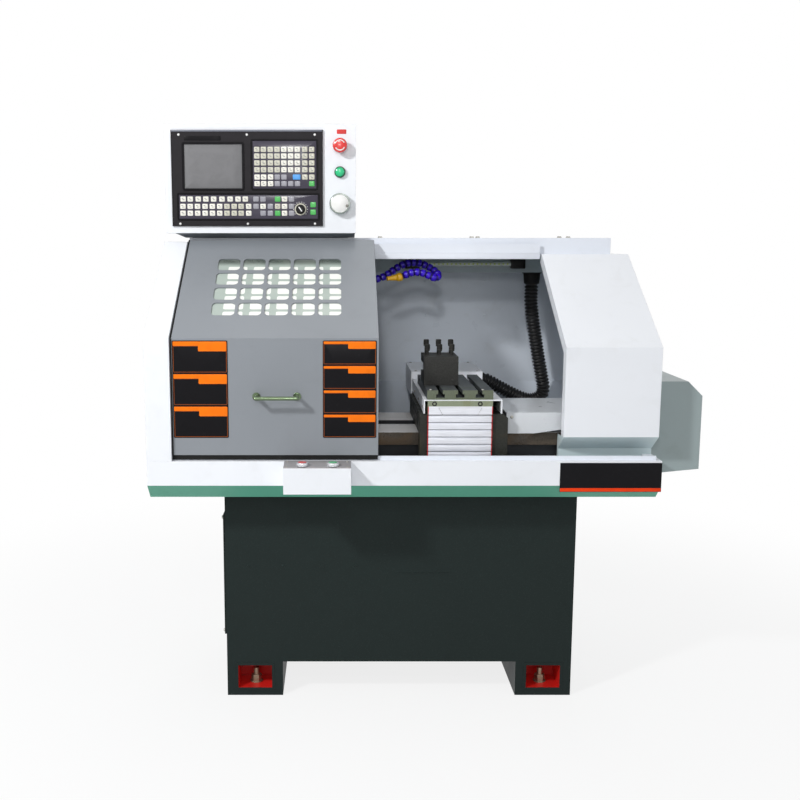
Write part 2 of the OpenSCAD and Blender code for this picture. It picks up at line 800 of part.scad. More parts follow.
module slide_guard() {
    x0 = motor_cover_x + 4;
    leg_z = saddle_top + 2;
    l = motor_cover_y + 30 - saddle_set + 4;
    color([0.92, 0.93, 0.94]) difference() {
        block([x0, saddle_set - 4, leg_z], [guard_w, l, table_z - leg_z]);
        block([x0 + guard_t, saddle_set - 4 - cut, leg_z - cut],
            [guard_w - 2 * guard_t, l + 2 * cut, slide_top - leg_z + cut]);
    }
}

module slide_table() {
    neck_h = 10;
    head_h = 9;
    color([0.33, 0.35, 0.37]) difference() {
        block([slide_x - table_w / 2, table_y, table_z], [table_w, table_d, table_t]);
        for (i = [-1 : 1]) {
            block([slide_x + i * 50.5 - slot_w / 2, table_y - cut, table_top - neck_h],
                [slot_w, table_d + 2 * cut, neck_h + cut]);
            block([slide_x + i * 50.5 - slot_head_w / 2, table_y - cut, table_top - neck_h - head_h],
                [slot_head_w, table_d + 2 * cut, head_h]);
        }
    }
}

// The middle of each clamp bolt on the tool block
clamp_at = [for (x = [12, block_w / 2, block_w - 12], y = [block_d - 22, block_d - 55])
    [block_x + x, block_y + y]];
tool_slot_z = table_top + 29;
tool_slot_d = 72;

module tool_block() {
    color([0.16, 0.16, 0.15]) difference() {
        block([block_x, block_y, table_top], [block_w, block_d, block_h]);
        block([block_x - cut, block_y + block_d - tool_slot_d, tool_slot_z],
            [block_w + 2 * cut, tool_slot_d + cut, tool_slot_h]);
        for (p = clamp_at) translate([p[0], p[1], tool_slot_z]) cylinder(h = block_h, r = clamp_r);
    }
}

module clamp_bolts() {
    point_z = tool_slot_z + tool_slot_h - 12;
    head_z = table_top + block_h + 24;
    color([0.1, 0.1, 0.1]) for (p = clamp_at) translate([p[0], p[1], 0]) {
        translate([0, 0, point_z]) cylinder(h = head_z - point_z, r = clamp_r);
        translate([0, 0, head_z]) cylinder(h = 14, r = clamp_r + 3, $fn = 6);
    }
}

// ---- Enclosure ----

// Outline of a housing's end plate: set-back f, inset s, bottom z0, flat top from y1
function end_plate(f, s, z0, y1) = [[f, z0], [f, slope_z(f, s)], [y1, slope_z(y1, s)],
    [tray_d, slope_z(y1, s)], [tray_d, z0]];

module left_housing() {
    top = slope_z(housing_y1, 0);
    hood_z0 = rim_z + 12;
    bar_hole_r = 25;
    color([0.93, 0.94, 0.96]) {
        difference() {
            along_x(x_left, sheet_t) polygon(end_plate(0, 0, rim_z, housing_y1));
            // Hole in line with the spindle's bore, for bar stock
            rod_x(x_left - cut, sheet_t + 2 * cut, bar_hole_r, axis_y, spindle_z);
        }
        along_x(x_left, left_w) polygon(bent_sheet(0, 0, rim_z, housing_y1, sheet_t));
        block([x_left, housing_y1, top - sheet_t], [left_w, tray_d - housing_y1, sheet_t]);
        // Return that steps back from the housing's face to the guard's
        along_x(guard_x - sheet_t, sheet_t) polygon([[0, rim_z], [0, slope_z(0, 0)],
            [housing_y1, slope_z(housing_y1, 0)], [guard_y1, slope_z(housing_y1, 0)],
            [guard_y1, slope_z(guard_y1, guard_inset + 25)],
            [guard_set + 25, slope_z(guard_set + 25, guard_inset + 25)], [guard_set + 25, rim_z]]);
        // Guard over the headstock and the chuck
        along_x(guard_x - sheet_t, guard_l + sheet_t)
            polygon(bent_sheet(guard_set, guard_inset, hood_z0, guard_y1, sheet_t));
        along_x(guard_x - sheet_t, guard_l + sheet_t) polygon([
            [guard_y1, slope_z(guard_y1, guard_inset + sheet_t)], [guard_y1, slope_z(guard_y1, guard_inset)],
            [roof_set, slope_z(guard_y1, guard_inset)],
            [roof_set, slope_z(guard_y1, guard_inset) - sheet_t]]);
    }
}

module right_housing() {
    top = slope_z(guard_y1, guard_inset);
    flange = 30;
    inner_y = facet_y + 15;
    passage_z = bed_top - 3;
    color([0.93, 0.94, 0.96]) difference() {
        union() {
            along_x(right_x, right_w) polygon(bent_sheet(guard_set, guard_inset, facet_z, guard_y1, sheet_t));
            // Lower facet, and the plate below it down to the tray's floor
            along_x(right_x, right_w) polygon([[guard_set, facet_z], [facet_y, facet_foot_z],
                [facet_y, rim_z], [facet_y + sheet_t, rim_z], [facet_y + sheet_t, facet_foot_z + 2],
                [guard_set + sheet_t, facet_z + 2]]);
            block([right_x, facet_y, tray_floor],
                [right_w - sheet_t - lip_w, sheet_t, rim_z - tray_floor]);
            // Top plate, cut back where the roof stands
            block([right_x, guard_y1, top - sheet_t], [right_w, roof_set - gap - guard_y1, sheet_t]);
            block([guard_x + roof_l + gap, guard_y1, top - sheet_t],
                [x_right - guard_x - roof_l - gap, tray_d - guard_y1, sheet_t]);
            // End plate
            along_x(x_right - sheet_t, sheet_t) polygon([[facet_y, rim_z], [facet_y, facet_foot_z],
                [guard_set, facet_z], [guard_set, slope_z(guard_set, guard_inset)], [guard_y1, top],
                [tray_d, top], [tray_d, rim_z]]);
            // Flange round the open inner side
            along_x(right_x, sheet_t) difference() {
                polygon([[facet_y, tray_floor], [facet_y, facet_foot_z], [guard_set, facet_z],
                    [guard_set, slope_z(guard_set, guard_inset)], [guard_y1, top], [roof_set - gap, top],
                    [roof_set - gap, top - 200], [roof_set - gap, tray_floor]]);
                polygon([[guard_set + flange, passage_z],
                    [guard_set + flange, slope_z(guard_set + flange, guard_inset + flange)],
                    [roof_set, slope_z(roof_set, guard_inset + flange)], [roof_set, passage_z]]);
                translate([inner_y, tray_floor - cut]) square([roof_set, passage_z - tray_floor + 2 * cut]);
            }
        }
        rod_x(x_right - 2 * sheet_t, 4 * sheet_t, 26, axis_y, z_screw_z);
    }
}

module back_wall() {
    deflector_z = rim_z + 106;
    deflector_y = tray_d - sheet_t;
    drop = 100;
    color([0.62, 0.67, 0.7]) {
        block([x_left + sheet_t, tray_d - sheet_t, rim_z],
            [tray_l - 2 * sheet_t, sheet_t, roof_z - roof_h - rim_z]);
        // Slanted deflector that throws chips and coolant forward
        along_x(x_left + sheet_t + lip_w, tray_l - 2 * (sheet_t + lip_w)) polygon([
            [deflector_y, deflector_z], [deflector_y - drop, deflector_z - drop],
            [deflector_y - drop, deflector_z - drop - 4], [deflector_y, deflector_z - 4]]);
    }
}

module roof() {
    z0 = roof_z - roof_h;
    color([0.9, 0.92, 0.96]) {
        difference() {
            block([guard_x, roof_set, z0], [roof_l, tray_d - roof_set, roof_h]);
            block([guard_x + sheet_t, roof_set + sheet_t, z0 + sheet_t],
                [roof_l - 2 * sheet_t, tray_d - roof_set - 2 * sheet_t, roof_h - 2 * sheet_t]);
        }
        // Cable duct along the back wall
        difference() {
            block([guard_x, duct_y, z0 - duct_h], [roof_l, tray_d - sheet_t - duct_y, duct_h]);
            block([guard_x + sheet_t, duct_y + sheet_t, z0 - duct_h + sheet_t],
                [roof_l - 2 * sheet_t, tray_d - duct_y, duct_h - sheet_t]);
            translate([cuff_x, conduit_y, z0 - duct_h - cut])
                cylinder(h = sheet_t + 2 * cut, r = conduit_r - 3);
        }
    }
}

module work_lamp() {
    lamp_y = duct_y - 18;
    lamp_z = roof_z - 77;
    lamp_r = 7;
    bracket_w = 44;
    color([0.15, 0.15, 0.15]) for (x = [36, 356])
        block([x, lamp_y - 12, lamp_z - 14], [bracket_w, duct_y - lamp_y + 12, 28]);
    color([0.85, 0.87, 0.85]) rod_x(36 + bracket_w, 320 - bracket_w, lamp_r, lamp_y, lamp_z);
}

module conduit_cuff() {
    z1 = roof_z - roof_h - duct_h;
    color([0.06, 0.06, 0.06]) translate([cuff_x, conduit_y, 0]) difference() {
        union() {
            translate([0, 0, z1 - 4]) cylinder(h = 4, r = conduit_r + 9);
            translate([0, 0, conduit_route[0][1]])
                cylinder(h = z1 - 4 - conduit_route[0][1], r = conduit_r + 3);
        }
        translate([0, 0, conduit_route[0][1] - cut]) cylinder(h = 60, r = conduit_r - 3);
    }
}

module conduit() {
    color([0.07, 0.07, 0.07]) sweep([for (p = conduit_route) [p[0], conduit_y, p[1]]], conduit_r, 12);
}

module coolant_hose() {
    fitting_z = hose_route[0][2] - 5;
    color([0.2, 0.15, 0.5]) {
        translate([hose_route[0][0], hose_route[0][1], fitting_z])
            cylinder(h = roof_z - roof_h - gap - fitting_z, r = hose_r + 3);
        sweep(hose_route, hose_r, 10);
    }
}

// ---- Door ----

door_x1 = door_x + door_w;

// Section of the door's folded tray shape, from inset 0 to its folded depth
function door_section(t, d, z0, y1) = [[door_set + t, z0], [door_set + t, slope_z(door_set + t, door_inset + t)],
    [y1, slope_z(y1, door_inset + t)], [y1, slope_z(y1, door_inset + d)],
    [door_set + d, slope_z(door_set + d, door_inset + d)], [door_set + d, z0]];

// Moves a flat XY shape onto the door's slope, a given distance up from the fold and in from the face
module on_slope(up, depth) {
    translate([0, door_set, slope_z(door_set, door_inset)]) rotate([slope_a, 0, 0])
        translate([0, up, -depth]) children();
}

module door_panel() {
    color([0.56, 0.58, 0.6]) difference() {
        along_x(door_x, door_w) polygon(door_section(0, door_fold, door_z0, door_y1));
        along_x(door_x + sheet_t, door_w - 2 * sheet_t)
            polygon(door_section(sheet_t, door_fold + cut, door_z0 + sheet_t, door_y1 - sheet_t));
        for (i = [0 : 4], k = [0 : 3])
            translate([window_x + i * hole_pitch_x, 0, 0])
                on_slope(window_up + k * hole_pitch_s, sheet_t + cut)
                linear_extrude(sheet_t + 2 * cut) rounded(hole_w, hole_h, 12);
    }
}

module door_window() {
    border = 12;
    w = 4 * hole_pitch_x + hole_w + 2 * border;
    h = 3 * hole_pitch_s + hole_h + 2 * border;
    color([0.9, 0.92, 0.93]) translate([window_x - border, 0, 0])
        on_slope(window_up - border, 2 * sheet_t + seat_gap)
        cube([w, h, sheet_t]);
}

module door_handle() {
    leg = 36;
    r = 5;
    x0 = door_x + 214;
    z = rim_z + 164;
    color([0.8, 0.82, 0.8]) {
        for (x = [x0, x0 + handle_w]) {
            rod_y(door_set - leg, leg, r, x, z);
            rod_y(door_set - 3, 3, r + 5, x, z);
            translate([x, door_set - leg, z]) sphere(r);
        }
        rod_x(x0, handle_w, r, door_set - leg, z);
    }
}

module door_glides() {
    glide_l = 40;
    top_z = slope_z(door_y1, door_inset);
    color([0.15, 0.15, 0.15]) for (x = [door_x + 60, door_x1 - 60 - glide_l]) {
        // Lower glide astride the bottom rail, under the door's bottom fold
        difference() {
            block([x, door_set + 4, door_z0 - 10], [glide_l, 16, 10]);
            block([x - cut, rail_y - gap, door_z0 - 10 - cut],
                [glide_l + 2 * cut, rail_w + 2 * gap, rim_z + rail_h + gap - door_z0 + 10 + cut]);
        }
        // Upper hanger hooked over the top rail
        difference() {
            block([x, door_y1, top_z - 24], [glide_l, 22, 20]);
            block([x - cut, door_y1 + 12 - gap, top_z - 24 - cut],
                [glide_l + 2 * cut, 3 + 2 * gap, top_rail_z + 22 + gap - top_z + 24 + cut]);
        }
    }
}

module door_rails() {
    rail_x1 = right_x - 4;
    color([0.75, 0.76, 0.78]) {
        block([guard_x + 2, rail_y, rim_z], [x_right - 12 - guard_x, rail_w, rail_h]);
        block([guard_x + 2, door_y1 + 12, top_rail_z], [rail_x1 - guard_x - 2, 3, 22]);
        block([guard_x + 2, door_y1 + 12, top_rail_z - 3],
            [rail_x1 - guard_x - 2, roof_set - door_y1 - 12, 3]);
    }
}

// ---- Console and controls ----

module console_box() {
    wall = 2.5;
    body_w = unit_w - 28;
    body_h = unit_h - 28;
    color([0.93, 0.94, 0.96]) difference() {
        block([console_x, console_y, console_z], [console_w, console_d, console_h]);
        block([console_x + wall, console_y + wall, console_z + wall],
            [console_w - 2 * wall, console_d - 2 * wall, console_h - 2 * wall]);
        block([unit_x + 14 - gap, console_y - cut, unit_z + 14 - gap],
            [body_w + 2 * gap, wall + 2 * cut, body_h + 2 * gap]);
        rod_y(console_y - cut, wall + 2 * cut, stem_r + gap, control_x, estop_z);
        rod_y(console_y - cut, wall + 2 * cut, stem_r + gap, control_x, start_z);
        rod_y(console_y - cut, wall + 2 * cut, stem_r + gap, control_x, wheel_z);
    }
}

module console_neck() {
    color([0.2, 0.2, 0.22]) difference() {
        block([guard_x + 8, roof_set + 2, roof_z], [440, 65, console_z - roof_z]);
        block([guard_x + 12, roof_set + 6, roof_z - cut], [432, 57, console_z - roof_z + 2 * cut]);
    }
}

module control_panel() {
    plate_t = console_y - unit_y;
    color([0.08, 0.08, 0.08]) difference() {
        union() {
            block([unit_x, unit_y, unit_z], [unit_w, plate_t, unit_h]);
            block([unit_x + 14, console_y, unit_z + 14], [unit_w - 28, 70, unit_h - 28]);
        }
        // Display window, then the upper and lower key fields
        block([unit_x + 35, unit_y - cut, unit_z + 102], [162, 2.5 + cut, 121]);
        block([unit_x + 224, unit_y - cut, unit_z + 102], [175, 1 + cut, 129]);
        block([unit_x + 19, unit_y - cut, unit_z + 19], [384, 1 + cut, 66]);
        rod_y(unit_y - cut, 22, 3 + gap, knob_x, knob_z);
    }
}

module override_knob() {
    color([0.05, 0.05, 0.05]) {
        rod_y(unit_y - 13, 13.5, 13, knob_x, knob_z);
        rod_y(unit_y - 1, 16, 3, knob_x, knob_z);
    }
}

module estop_button() {
    color([0.8, 0.1, 0.08]) {
        rod_y(console_y - 32, 14, estop_r, control_x, estop_z);
        rod_y(console_y - 19, 45, stem_r, control_x, estop_z);
    }
}

module start_button() {
    color([0.1, 0.55, 0.35]) {
        rod_y(console_y - 14, 9, 13, control_x, start_z);
        rod_y(console_y - 6, 30, stem_r, control_x, start_z);
    }
}

module handwheel() {
    color([0.85, 0.86, 0.87]) {
        rod_y(console_y - 24, 22, wheel_r, control_x, wheel_z);
        rod_y(console_y - 3, 30, stem_r, control_x, wheel_z);
        rod_y(console_y - 34, 11, 4, control_x + wheel_r - 9, wheel_z - 6);
    }
}

module button_box() {
    wall = 2;
    color([0.9, 0.92, 0.94]) difference() {
        block([button_box_x, -button_box_d, button_box_z], [button_box_w, button_box_d, button_box_h]);
        block([button_box_x + wall, -button_box_d + wall, button_box_z + wall],
            [button_box_w - 2 * wall, button_box_d, button_box_h - 2 * wall]);
        for (x = [stop_x, run_x]) translate([x, button_y, button_box_z + button_box_h - wall - cut])
            cylinder(h = wall + 2 * cut, r = stem_r + gap);
    }
}

// A push button in the button box's top, at x
module push_button(x) {
    top = button_box_z + button_box_h;
    translate([x, button_y, top + 3]) cylinder(h = 7, r = 11);
    translate([x, button_y, top - 22]) cylinder(h = 26, r = stem_r);
}

module stop_button() { color([0.75, 0.15, 0.12]) push_button(stop_x); }
module run_button() { color([0.12, 0.5, 0.35]) push_button(run_x); }

// ---- End box and electrical cabinet ----

module end_box() {
    outline = [[x_right, end_box_z - 13], [x_max, end_box_z], [x_max, end_box_z + end_box_h - end_chamfer],
        [x_max - end_chamfer, end_box_z + end_box_h], [x_right, end_box_z + end_box_h]];
    t = sheet_t;
    inner = [[x_right - cut, end_box_z - 13 + t], [x_right, end_box_z - 13 + t], [x_max - t, end_box_z + t],
        [x_max - t, end_box_z + end_box_h - end_chamfer - 1],
        [x_max - end_chamfer - 1, end_box_z + end_box_h - t],
        [x_right - cut, end_box_z + end_box_h - t]];
    color([0.6, 0.66, 0.66]) difference() {
        along_y(end_box_y, end_box_d) polygon(outline);
        along_y(end_box_y + t, end_box_d - 2 * t) polygon(inner);
    }
}

module electrical_cabinet() {
    t = sheet_t;
    color([0.9, 0.92, 0.94]) {
        difference() {
            block([cabinet_x, tray_d, cabinet_z], [cabinet_w, cabinet_d, cabinet_h]);
            block([cabinet_x + t, tray_d + t, cabinet_z + t],
                [cabinet_w - 2 * t, cabinet_d, cabinet_h - 2 * t]);
        }
        // Lower halves of the lift-off hinges, with their pins
        for (up = hinge_up) {
            block([hinge_x, cabinet_y1 - 14, cabinet_z + up], [cabinet_x - hinge_x, 14, 20]);
            translate([hinge_x, hinge_y, cabinet_z + up]) cylinder(h = 20, r = hinge_r);
            translate([hinge_x, hinge_y, cabinet_z + up + 20 - cut]) cylinder(h = 24 + cut, r = hinge_pin_r);
        }
    }
}

module cabinet_door() {
    color([0.92, 0.93, 0.95]) {
        block([cabinet_x, cabinet_y1 + gap, cabinet_z], [cabinet_w, cabinet_door_t, cabinet_h]);
        for (up = hinge_up) difference() {
            union() {
                translate([hinge_x, hinge_y, cabinet_z + up + 20 + gap]) cylinder(h = 24, r = hinge_r);
                block([hinge_x, cabinet_y1 + gap, cabinet_z + up + 20 + gap],
                    [cabinet_x - hinge_x + cut, cabinet_door_t, 24]);
            }
            translate([hinge_x, hinge_y, cabinet_z + up]) cylinder(h = 60, r = hinge_pin_r + run_gap);
        }
    }
}

module drive_panel() {
    y = tray_d + sheet_t;
    z = cabinet_z + 25;
    color([0.8, 0.78, 0.5]) block([cabinet_x + 25, y, z], [cabinet_w - 50, 3, cabinet_h - 50]);
    color([0.3, 0.3, 0.32]) for (i = [0 : 2])
        block([cabinet_x + 55 + i * 95, y + 3, z + cabinet_h - 260], [75, 120, 170]);
    color([0.6, 0.6, 0.62]) block([cabinet_x + cabinet_w - 190, y + 3, z + cabinet_h - 230], [120, 90, 130]);
    color([0.2, 0.45, 0.3]) block([cabinet_x + 60, y + 3, z + 40], [cabinet_w - 130, 45, 40]);
}

// Moves a piece from the tray's frame to the middle of the machine's footprint
module placed() {
    translate([-(x_min + x_max) / 2, -(y_min + y_max) / 2, 0]) children();
}

placed() base_cabinet();
placed() foot_pockets();
placed() levelling_bolts();
placed() access_panels();
placed() coolant_tank();
placed() coolant_pump();
placed() splash_tray();
placed() tray_skirt();
placed() bed();
placed() headstock();
placed() spindle_bearings();
placed() spindle_motor();
placed() drive_belt();
placed() left_housing();
placed() right_housing();
placed() back_wall();
placed() roof();
placed() console_box();
placed() console_neck();
placed() control_panel();
placed() work_lamp();
placed() conduit_cuff();
placed() conduit();
placed() door_rails();
placed() button_box();
placed() z_motor();
placed() end_box();
placed() electrical_cabinet();
placed() drive_panel();
placed() door_panel();
placed() door_window();
placed() door_handle();
placed() door_glides();
placed() saddle();
placed() way_cover();
placed() x_motor();
placed() x_motor_cover();
placed() apron();
placed() slide_base();
placed() slide_guard();
placed() slide_table();
placed() tool_block();
placed() clamp_bolts();
placed() z_screw();
placed() x_screw();
placed() spindle();
placed() spindle_pulley();
placed() chuck_body();
placed() jaw_1();
placed() jaw_2();
placed() jaw_3();
placed() motor_pulley();
placed() coolant_hose();
placed() estop_button();
placed() start_button();
placed() handwheel();
placed() override_knob();
placed() stop_button();
placed() run_button();
placed() cabinet_door();
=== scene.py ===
"""Looks of a compact enclosed bench lathe, built in metres round its packed CAD model.

Each class in the last section is one sub-assembly. Its fields are sizes in millimetres, and its places are
measured from the boxes of the CAD nodes, so the looks follow the model when a size changes.
"""

import logging
import math
from dataclasses import dataclass
from enum import Enum
from typing import Iterable, Optional, Sequence, Union

import bmesh
import bpy
import numpy as np
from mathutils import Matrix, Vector


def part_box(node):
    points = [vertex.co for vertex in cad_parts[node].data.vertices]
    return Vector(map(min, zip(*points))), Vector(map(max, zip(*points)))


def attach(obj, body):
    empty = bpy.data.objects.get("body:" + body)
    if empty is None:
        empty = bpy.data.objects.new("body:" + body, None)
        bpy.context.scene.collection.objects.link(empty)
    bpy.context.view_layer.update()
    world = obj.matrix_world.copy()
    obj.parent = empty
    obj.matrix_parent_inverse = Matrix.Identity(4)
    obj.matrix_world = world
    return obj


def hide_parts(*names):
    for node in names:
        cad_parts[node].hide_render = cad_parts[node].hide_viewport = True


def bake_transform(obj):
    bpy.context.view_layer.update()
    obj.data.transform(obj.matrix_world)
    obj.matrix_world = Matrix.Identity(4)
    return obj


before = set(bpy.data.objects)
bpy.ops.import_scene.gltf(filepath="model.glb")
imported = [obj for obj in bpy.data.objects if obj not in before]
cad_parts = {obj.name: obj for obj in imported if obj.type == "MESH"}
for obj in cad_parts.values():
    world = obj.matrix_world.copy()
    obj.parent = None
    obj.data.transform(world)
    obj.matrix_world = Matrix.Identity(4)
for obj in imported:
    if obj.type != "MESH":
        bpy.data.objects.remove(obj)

LOG = logging.getLogger("bench_lathe")
MM = 0.001
TAU = 2 * math.pi
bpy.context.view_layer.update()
Colour = tuple[float, float, float]
Pair = tuple[float, float]
Section = Sequence[Pair]
Socket = bpy.types.NodeSocket
Point = Union[Sequence[float], np.ndarray]


def srgb(red: float, green: float, blue: float) -> Colour:
    """Turns a display colour into a linear one.

    Args:
        red: Red from 0 to 255.
        green: Green from 0 to 255.
        blue: Blue from 0 to 255.

    Returns:
        The linear colour, each part from 0 to 1.
    """
    parts = np.array([red, green, blue], float) / 255
    linear = np.where(parts <= 0.04045, parts / 12.92, ((parts + 0.055) / 1.055) ** 2.4)
    return tuple(float(x) for x in linear)


def shaded(colour: Colour, factor: Union[float, Point], lift: float = 0.0) -> Colour:
    """Returns a linear colour made darker or lighter, and no part of it above 1."""
    return tuple(float(x) for x in np.minimum(np.array(colour) * factor + lift, 1.0))


# ---- Shader maths ----


class Value:
    """A number in a material's node tree, with Python's arithmetic."""

    def __init__(self, graph: "Graph", socket: Socket) -> None:
        """Wraps one output socket of a graph."""
        self.graph = graph
        self.socket = socket

    def _maths(self, operation: str, first: object, second: object = 0.0) -> "Value":
        """Adds one Math node."""
        node = self.graph.node("ShaderNodeMath", {"operation": operation}, {0: first, 1: second})
        return Value(self.graph, node.outputs[0])

    def __add__(self, other: object) -> "Value":
        """Returns self + other."""
        return self._maths("ADD", self, other)

    __radd__ = __add__

    def __sub__(self, other: object) -> "Value":
        """Returns self - other."""
        return self._maths("SUBTRACT", self, other)

    def __rsub__(self, other: object) -> "Value":
        """Returns other - self."""
        return self._maths("SUBTRACT", other, self)

    def __mul__(self, other: object) -> "Value":
        """Returns self * other."""
        return self._maths("MULTIPLY", self, other)

    __rmul__ = __mul__

    def fraction(self) -> "Value":
        """Returns the part after the decimal point."""
        return self._maths("FRACT", self)

    def step(self, low: float, high: float) -> "Value":
        """Rises smoothly from 0 where self is low to 1 where it is high."""
        node = self.graph.node(
            "ShaderNodeMapRange", {"interpolation_type": "SMOOTHSTEP"},
            {"Value": self, "From Min": low, "From Max": high},
        )
        return Value(self.graph, node.outputs[0])


class Graph:
    """One material's node tree, from its coordinates to its surface."""

    def __init__(self, name: str, owner: Optional[bpy.types.ID] = None) -> None:
        """Starts an empty material, or another owner's nodes, with Object coordinates."""
        self.material = owner or bpy.data.materials.new(name)
        self.material.use_nodes = True
        self.tree = self.material.node_tree
        self.tree.nodes.clear()
        self.place = self.node("ShaderNodeTexCoord").outputs["Object"]

    def node(self, kind: str, settings: Optional[dict] = None,
             inputs: Optional[dict] = None) -> bpy.types.Node:
        """Adds a node.

        Args:
            kind: The node's type.
            settings: Its own settings.
            inputs: A value, a Value or a socket for each input, by name or number.

        Returns:
            The new node.
        """
        node = self.tree.nodes.new(kind)
        for key, value in (settings or {}).items():
            setattr(node, key, value)
        for key, value in (inputs or {}).items():
            if isinstance(value, Value):
                value = value.socket
            if isinstance(value, Socket):
                self.tree.links.new(value, node.inputs[key])
            else:
                node.inputs[key].default_value = value
        return node

    def stretched(self, scale: Point) -> Socket:
        """Returns the coordinates scaled by a factor along each axis."""
        return self.node("ShaderNodeMapping", {}, {"Vector": self.place, "Scale": tuple(scale)}).outputs[0]

    def noise(self, scale: float, detail: float = 3.0, stretch: Point = (1, 1, 1),
              warp: float = 0.0) -> Value:
        """Returns a noise from 0 to 1 with that many cells to the metre."""
        node = self.node(
            "ShaderNodeTexNoise", {},
            {"Vector": self.stretched(stretch), "Scale": scale, "Detail": detail, "Distortion": warp},
        )
        return Value(self, node.outputs[0])

    def cells(self, scale: float) -> Value:
        """Returns the distance to the nearest of many scattered points, in cell widths."""
        node = self.node("ShaderNodeTexVoronoi", {}, {"Vector": self.place, "Scale": scale})
        return Value(self, node.outputs["Distance"])

    def along(self, axis: int) -> Value:
        """Returns the coordinate along X, Y or Z, in metres."""
        return Value(self, self.node("ShaderNodeSeparateXYZ", {}, {0: self.place}).outputs[axis])

    def mix(self, first: object, second: object, factor: object) -> Socket:
        """Returns the colour that is first at factor 0 and second at factor 1."""
        ends = [(*c, 1) if isinstance(c, tuple) else c for c in (first, second)]
        node = self.node("ShaderNodeMix", {"data_type": "RGBA"}, {0: factor, 6: ends[0], 7: ends[1]})
        return node.outputs[2]

    def blend(self, first: Socket, second: Socket, factor: Value) -> Socket:
        """Returns the normal that is first at factor 0 and second at factor 1."""
        node = self.node("ShaderNodeMix", {"data_type": "VECTOR"}, {0: factor, 4: first, 5: second})
        return node.outputs[1]

    def soft_edges(self, radius: float) -> Socket:
        """Returns a normal that rounds the edges by a radius in millimetres."""
        return self.node("ShaderNodeBevel", {"samples": 4}, {"Radius": radius * MM}).outputs[0]

    def edge_mask(self, radius: float) -> Value:
        """Returns 1 on outer and inner edges, fading to 0 a radius in millimetres away."""
        true = self.node("ShaderNodeNewGeometry").outputs["Normal"]
        ends = {0: self.soft_edges(radius), 1: true}
        dot = self.node("ShaderNodeVectorMath", {"operation": "DOT_PRODUCT"}, ends)
        return (1 - Value(self, dot.outputs["Value"])).step(0.02, 0.3)

    def bump(self, height: Value, distance: float, edge: float = 0.0) -> Socket:
        """Returns a normal raised by height times a distance in millimetres, over edges rounded by edge."""
        inputs = {"Height": height, "Distance": distance * MM, "Strength": 1.0}
        if edge:
            inputs["Normal"] = self.soft_edges(edge)
        return self.node("ShaderNodeBump", {}, inputs).outputs[0]

    def surface(self, **inputs: object) -> bpy.types.Material:
        """Ends the graph in a Principled surface, with spaces in socket names written as underscores."""
        named = {key.replace("_", " "): value for key, value in inputs.items()}
        shader = self.node("ShaderNodeBsdfPrincipled", {}, named)
        self.node("ShaderNodeOutputMaterial", {}, {"Surface": shader.outputs[0]})
        return self.material


# ---- Finishes ----

Inputs = dict[str, object]


class Slot(Enum):
    """The record's material slots."""

    WHITE = "paint_white"
    GREEN = "paint_green"
    DARK = "paint_dark"
    RED = "paint_red"
    GREY = "paint_grey"
    INTERIOR = "paint_interior"
    BLUE = "paint_blue"
    GROUND = "ground_steel"
    OILED = "dark_steel"
    CASTING = "casting"
    BRIGHT = "bright_metal"
    BLACK = "black_plastic"
    RED_PLASTIC = "red_plastic"
    GREEN_PLASTIC = "green_plastic"
    CLEAR = "clear_plastic"
    PLASTIC = "grey_plastic"
    RUBBER = "rubber"
    LAMP = "lamp"
    HOSE = "hose"


@dataclass(frozen=True)
class Coloured:
    """What a finish starts from: its name, its display colour and the record's slot."""

    name: str
    display: Colour
    slot: Slot

    @property
    def colour(self) -> Colour:
        """Returns the linear colour."""
        return srgb(*self.display)

    def tone(self, factor: Union[float, Point], lift: float = 0.0) -> Colour:
        """Returns the linear colour made darker or lighter."""
        return shaded(self.colour, factor, lift)


@dataclass(frozen=True)
class Paint(Coloured):
    """Sprayed and baked paint on sheet metal or on a casting."""

    roughness: float = 0.38
    peel: float = 0.03
    soil: float = 0.12
    wear: float = 0.25
    speckle: float = 0.0
    under: Colour = srgb(70, 68, 64)
    gloss: float = 0.5

    def inputs(self, graph: Graph) -> Inputs:
        """Returns the paint, with drifting tone, handling marks, orange peel and worn edges."""
        drift, marks, fine = graph.noise(2.2, 2), graph.noise(19, 5, warp=0.6), graph.noise(620, 2)
        colour = graph.mix(self.colour, self.tone(0.86), drift.step(0.35, 0.75) * 0.35)
        colour = graph.mix(colour, self.tone((0.66, 0.64, 0.58)), marks.step(0.52, 0.8) * self.soil)
        if self.speckle:
            dots = 1 - graph.cells(230).step(0.1, 0.32)
            colour = graph.mix(colour, self.tone(3.2, 0.02), dots * self.speckle)
            fine = fine + dots
        chipped = graph.edge_mask(1.6) * graph.noise(150, 4).step(0.56, 0.66)
        colour = graph.mix(colour, self.under, chipped * self.wear)
        return dict(
            Base_Color=colour,
            Roughness=marks * 0.16 + (self.roughness - 0.08) + chipped * 0.2,
            Normal=graph.bump(fine, self.peel, edge=1.2),
            Specular_IOR_Level=self.gloss,
        )


